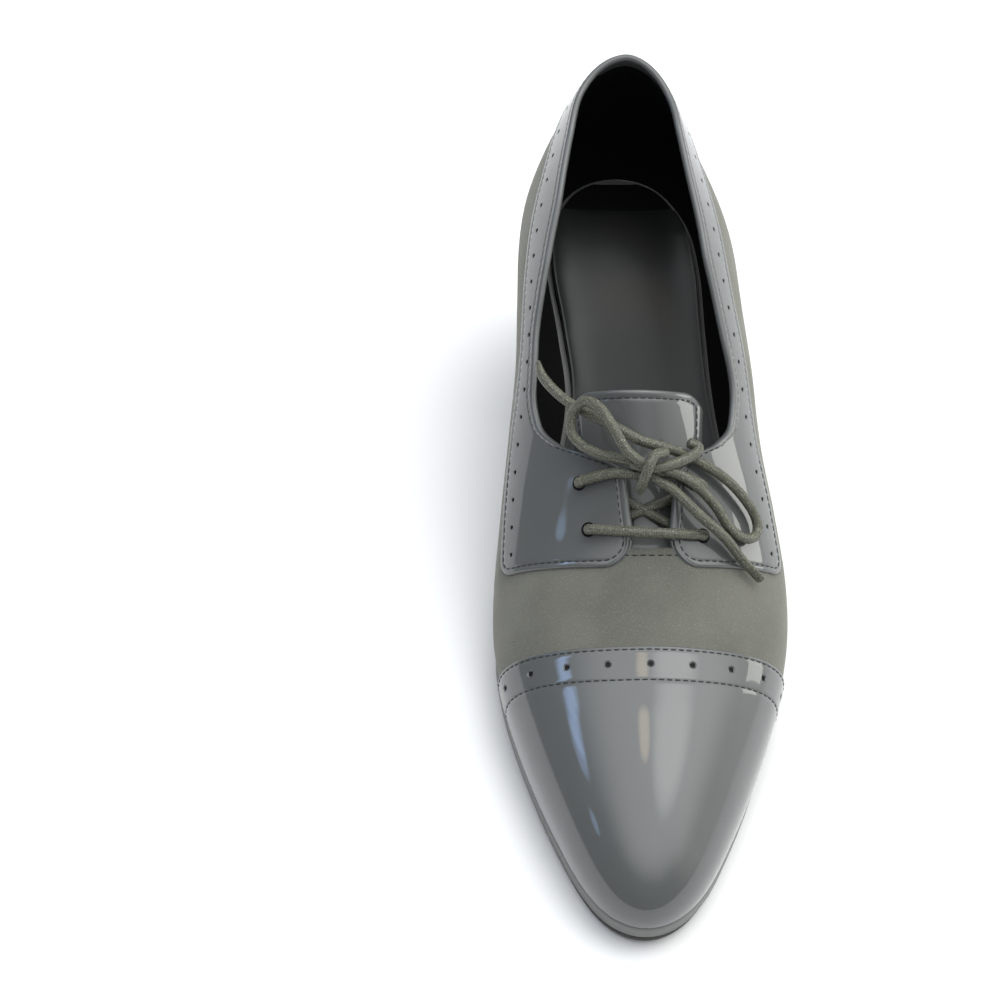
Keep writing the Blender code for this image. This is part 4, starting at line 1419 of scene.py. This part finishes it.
def vampRow():
    # along the vamp's rear edge, between the facings
    look = stitchLook
    turn = facingLine + upperLook["vampBack"] - look["vampIn"] / facingPace
    up, side = upSide(np.linspace(-look["vampReach"], look["vampReach"], 60))
    return evenPath(onPanel(np.full(60, turn), up, side, look["vampLift"]), traceStep)


def makeStitches():
    look = stitchLook
    rows = [(evenPath(row, traceStep), thread) for row in capStitches] + panelStitches
    rows += [(tongueStitches, thread), (vampRow(), thread)]
    # the near-black stitches are painted shade on grey thread; the grey stitches show the thread's own
    # colour
    for name, colour in (("darkStitches", thread), ("greyStitches", paleThread)):
        chosen = [row for row, threadUsed in rows if threadUsed is colour]
        finished(stitchRows(name, chosen, look["pitch"], look["bead"], look["thick"], colour), "patent")


makeStitches()
print("stitches made")

# Insole, sole and heel
insoleLook = {
    "reach": (0.035, 0.992),
    "thick": 0.0020,
    "dish": 0.0022,
    "clearance": 0.0006,
    "sock": 0.236,
    "step": 0.0008,
}


def outlinePoint(turn, side, inset):
    step = 0.004
    turn = np.asarray(turn, float)
    ahead = featherPoint(np.minimum(turn + step, 1), side)
    behind = featherPoint(np.maximum(turn - step, 0), side)
    along = ahead - behind
    outward = stack(along[..., 1] * side, -along[..., 0] * side, 0.0)
    pole = (turn <= 0) | (turn >= 1)
    outward[..., 0] = np.where(pole, 0, outward[..., 0])
    outward /= np.linalg.norm(outward, axis=-1, keepdims=True)
    return featherPoint(turn, side) + outward * (shoe["margin"] - inset)


def makeInsole():
    look = insoleLook
    sockEnd = float(turnOf((look["sock"] - shoe["margin"]) / lastLength))
    start, end = (float(turnOf(along)) for along in look["reach"])
    turns = spread((start, 160), (sockEnd - 0.003, 8), (sockEnd + 0.0012, 14), end)
    rim, middle = np.linspace(0.8, 1, 12), np.linspace(-0.8, 0.8, 50)[1:-1]
    shares = np.concatenate([-rim[::-1], middle, rim])
    inset = shoe["margin"] + shoe["wall"] + look["clearance"]
    layers = []
    for face in (1, 0):
        grid = []
        for turn in turns:
            low = outlinePoint(turn, -1.0, inset)
            high = outlinePoint(turn, 1.0, inset)
            place = low + (high - low) * ((1 + shares) / 2)[:, None]
            along = float(alongOf(turn))
            reach = np.clip((along - 0.10) / 0.25, 0, 1) * np.clip((1 - along) / 0.10, 0, 1)
            dish = look["dish"] * np.abs(shares) ** 5 * reach
            thick = look["thick"] - look["step"] * ease(turn, sockEnd - 0.0012, sockEnd + 0.0012)
            side = np.clip((1 - np.abs(shares)) / 0.02, 0, 1) ** 0.5
            place[:, 2] = seatHeight(along) + dish * face + face * thick * side
            grid.append(place)
        faces = gridFaces(len(turns), len(shares), turned=face > 0)
        layers.append(meshObject("insoleFace", np.concatenate(grid), faces, sock, lining))
    insole = joined("insoleSock", layers)
    merged(insole)
    for polygon in insole.data.polygons:
        if polygon.center.y > look["sock"] - midY + 0.0006:
            polygon.material_index = 1
    return finished(insole, "sock", "insole")


def slab(name, turns, levels, pointOf, material, smoothAngle=35):
    # a solid between its two sides' outlines: levels run from top to bottom
    turns = np.asarray(turns, float)
    columns = [pointOf(turns, -1.0, level) for level in levels]
    columns += [pointOf(turns, 1.0, level) for level in reversed(levels)]
    points = np.stack(columns, axis=1)
    count = points.shape[1]
    faces = gridFaces(len(points), count, ringed=True, turned=True)
    first = tuple(range(count))
    last = tuple((len(points) - 1) * count + j for j in range(count))[::-1]
    obj = merged(meshObject(name, points.reshape(-1, 3), faces + [first, last], material))
    smoothed(obj.data, smoothAngle)
    return obj


midsoleEdge = (
    (0.0012, 0.00), (0.0004, 0.05), (0.0000, 0.14), (0.0000, 0.40), (0.0001, 0.60), (0.0000, 0.80),
    (0.0004, 0.92), (0.0012, 1.00),
)
outsoleEdge = ((0.0012, 0.00), (0.0007, 0.15), (0.0006, 0.50), (0.0008, 0.85), (0.0014, 1.00))
heelTable = (
    (0.00, 0.00, 0.00), (0.14, 0.16, 0.10), (0.34, 0.46, 0.36), (0.62, 0.80, 0.70), (1.00, 1.00, 1.00),
)
heelLook = {"breast": 0.765, "foot": 0.80, "rake": 0.006, "topPiece": 0.0060}


def midsoleTop(turn):
    return seatHeight(alongOf(turn)) - shoe["seam"]


def midsoleBottom(turn):
    return midsoleTop(turn) - shoe["midsole"] * midsoleShare(alongOf(turn))


def makeSole():
    def midsolePoint(turn, side, level):
        inset, drop = level
        point = outlinePoint(turn, side, inset)
        point[:, 2] = midsoleTop(turn) + drop * (midsoleBottom(turn) - midsoleTop(turn))
        return point

    def outsolePoint(turn, side, level):
        inset, drop = level
        point = outlinePoint(turn, side, inset)
        thick = shoe["outsole"] + shoe["seam"] * 0.7
        point[:, 2] = midsoleBottom(turn) - shoe["seam"] * 0.3 - drop * thick
        return point

    midsole = slab("greyMidsole", spread((0.0, 180), 1.0), midsoleEdge, midsolePoint, midsoleEdgeLook)
    finished(midsole, "sole_edge", "midsole")
    end = float(turnOf(heelLook["breast"])) - shoe["seam"] * 4
    outsole = slab("darkOutsole", spread((0.0, 140), end), outsoleEdge, outsolePoint, tread)
    finished(outsole, "tread", "outsole")


def heelOutline(turn, side, drawn, raked):
    edge = outlinePoint(turn, side, 0.0012)
    back = outlinePoint(1.0, 1.0, 0.0)
    breast = outlinePoint(float(turnOf(heelLook["breast"])), 1.0, 0.0)
    middle = np.array([-midX, (back[1] + breast[1]) / 2, 0])
    point = middle + (edge - middle) * (1 - drawn * (1 - heelLook["foot"]))
    point[:, 1] -= raked * heelLook["rake"]
    return point


def makeHeel():
    foot = heelLook["topPiece"] + shoe["seam"]
    down = [row[0] for row in heelTable]

    def heelPoint(turn, side, level):
        drawn = float(np.interp(level, down, [row[1] for row in heelTable]))
        raked = float(np.interp(level, down, [row[2] for row in heelTable]))
        point = heelOutline(turn, side, drawn, raked)
        top = midsoleBottom(turn) - shoe["seam"]
        point[:, 2] = top + level * (foot - top)
        return point

    def topPoint(turn, side, level):
        inset, height = level
        point = heelOutline(turn, side, 1.0 + inset, 1.0)
        point[:, 2] = height
        return point

    start = float(turnOf(heelLook["breast"]))
    turns = spread((start, 70), 1.0)
    heel = slab("heelBlock", turns, list(np.linspace(0, 1, 30)), heelPoint, patent)
    finished(heel, "heel_cover", "heel")
    high = heelLook["topPiece"]
    levels = [(0.06, high), (0.0, high - 0.0005), (0.0, 0.0006), (0.08, 0.0)]
    topPiece = slab("heelTopPiece", turns, levels, topPoint, tread)
    finished(topPiece, "tread", "heel_top_piece")


makeInsole()
makeSole()
makeHeel()
print("sole and heel made")

# Stage
lights = {
    "sky": {
        "place": (0.30, 0.35, 1.60), "aim": (0.0, -0.03, 0.03), "size": (1.0, 0.8), "power": 7.0,
        "tint": (1.0, 0.99, 0.98), "seen": False,
    },
    "card": {
        "place": (0.32, 0.045, 0.105), "aim": (0.03, -0.02, 0.065), "size": (0.09, 0.09), "power": 0.085,
        "tint": (1.0, 1.0, 0.94), "seen": True,
    },
}
# What the patent leather mirrors: towards, degrees of full light and of none, light
room = {
    "base": (0.19, 0.20, 0.21),
    "patches": (
        ((0.15, 0.10, 0.98), 22, 60, (1.75, 1.78, 1.80)),
        ((0.34, 0.10, 0.93), 5, 17, (2.20, 2.30, 2.20)),
        ((0.90, 0.10, 0.40), 15, 45, (0.75, 0.75, 0.70)),
        ((0.00, 0.14, 0.99), 1, 5, (3.00, 2.40, 1.60)),
        ((-0.68, 0.25, 0.69), 2, 5, (1.20, 1.80, 3.00)),
        ((-0.72, 0.20, 0.67), 2, 5, (1.20, 1.80, 3.00)),
        ((-0.75, 0.15, 0.64), 2, 5, (1.20, 1.80, 3.00)),
        ((-0.78, 0.09, 0.62), 2, 5, (1.20, 1.80, 3.00)),
        ((-0.86, -0.12, 0.49), 1, 4, (1.10, 1.70, 2.70)),
    ),
}


def cosine(degrees):
    return math.cos(math.radians(degrees))


def worldOfRoom():
    world = bpy.data.worlds.new("room")
    world.use_nodes = True
    tree = world.node_tree
    towards = tree.nodes.new("ShaderNodeTexCoord").outputs["Generated"]

    def vector(operation, first, second, socket=1):
        made = tree.nodes.new("ShaderNodeVectorMath")
        made.operation = operation
        tree.links.new(first, made.inputs[0])
        if isinstance(second, bpy.types.NodeSocket):
            tree.links.new(second, made.inputs[socket])
        else:
            made.inputs[socket].default_value = second
        return made.outputs["Value" if operation == "DOT_PRODUCT" else "Vector"]

    total = tree.nodes.new("ShaderNodeCombineXYZ")
    for socket, value in zip(total.inputs, room["base"]):
        socket.default_value = value
    total = total.outputs[0]
    for direction, full, none, light in room["patches"]:
        near = vector("DOT_PRODUCT", towards, Vector(direction).normalized())
        soft = tree.nodes.new("ShaderNodeMapRange")
        soft.interpolation_type = "SMOOTHSTEP"
        tree.links.new(near, soft.inputs["Value"])
        soft.inputs["From Min"].default_value = cosine(none)
        soft.inputs["From Max"].default_value = cosine(full)
        tint = tree.nodes.new("ShaderNodeCombineXYZ")
        for socket, value in zip(tint.inputs, light):
            socket.default_value = value
        total = vector("ADD", total, vector("SCALE", tint.outputs[0], soft.outputs["Result"], 3))
    tree.links.new(total, tree.nodes["Background"].inputs["Color"])
    return world


def makeStage():
    floor = meshObject("floor", [(-30, -30, 0), (30, -30, 0), (30, 30, 0), (-30, 30, 0)], [(0, 1, 2, 3)])
    cover = Shader("paleFloor", Roughness=0.7)
    cover.set("Base Color", (0.88, 0.88, 0.88))
    floor.data.materials.append(cover.material)
    for name, light in lights.items():
        data = bpy.data.lights.new(name, "AREA")
        data.shape = "RECTANGLE"
        data.size, data.size_y = light["size"]
        data.energy = light["power"]
        data.color = light["tint"]
        lamp = placed(name, data)
        lamp.location = light["place"]
        aim = Vector(light["aim"]) - Vector(light["place"])
        lamp.rotation_euler = aim.to_track_quat("-Z", "Y").to_euler()
        lamp.visible_glossy = light["seen"]
    bpy.context.scene.world = worldOfRoom()
    bpy.context.scene.view_settings.view_transform = "Standard"


makeStage()
print("stage made")
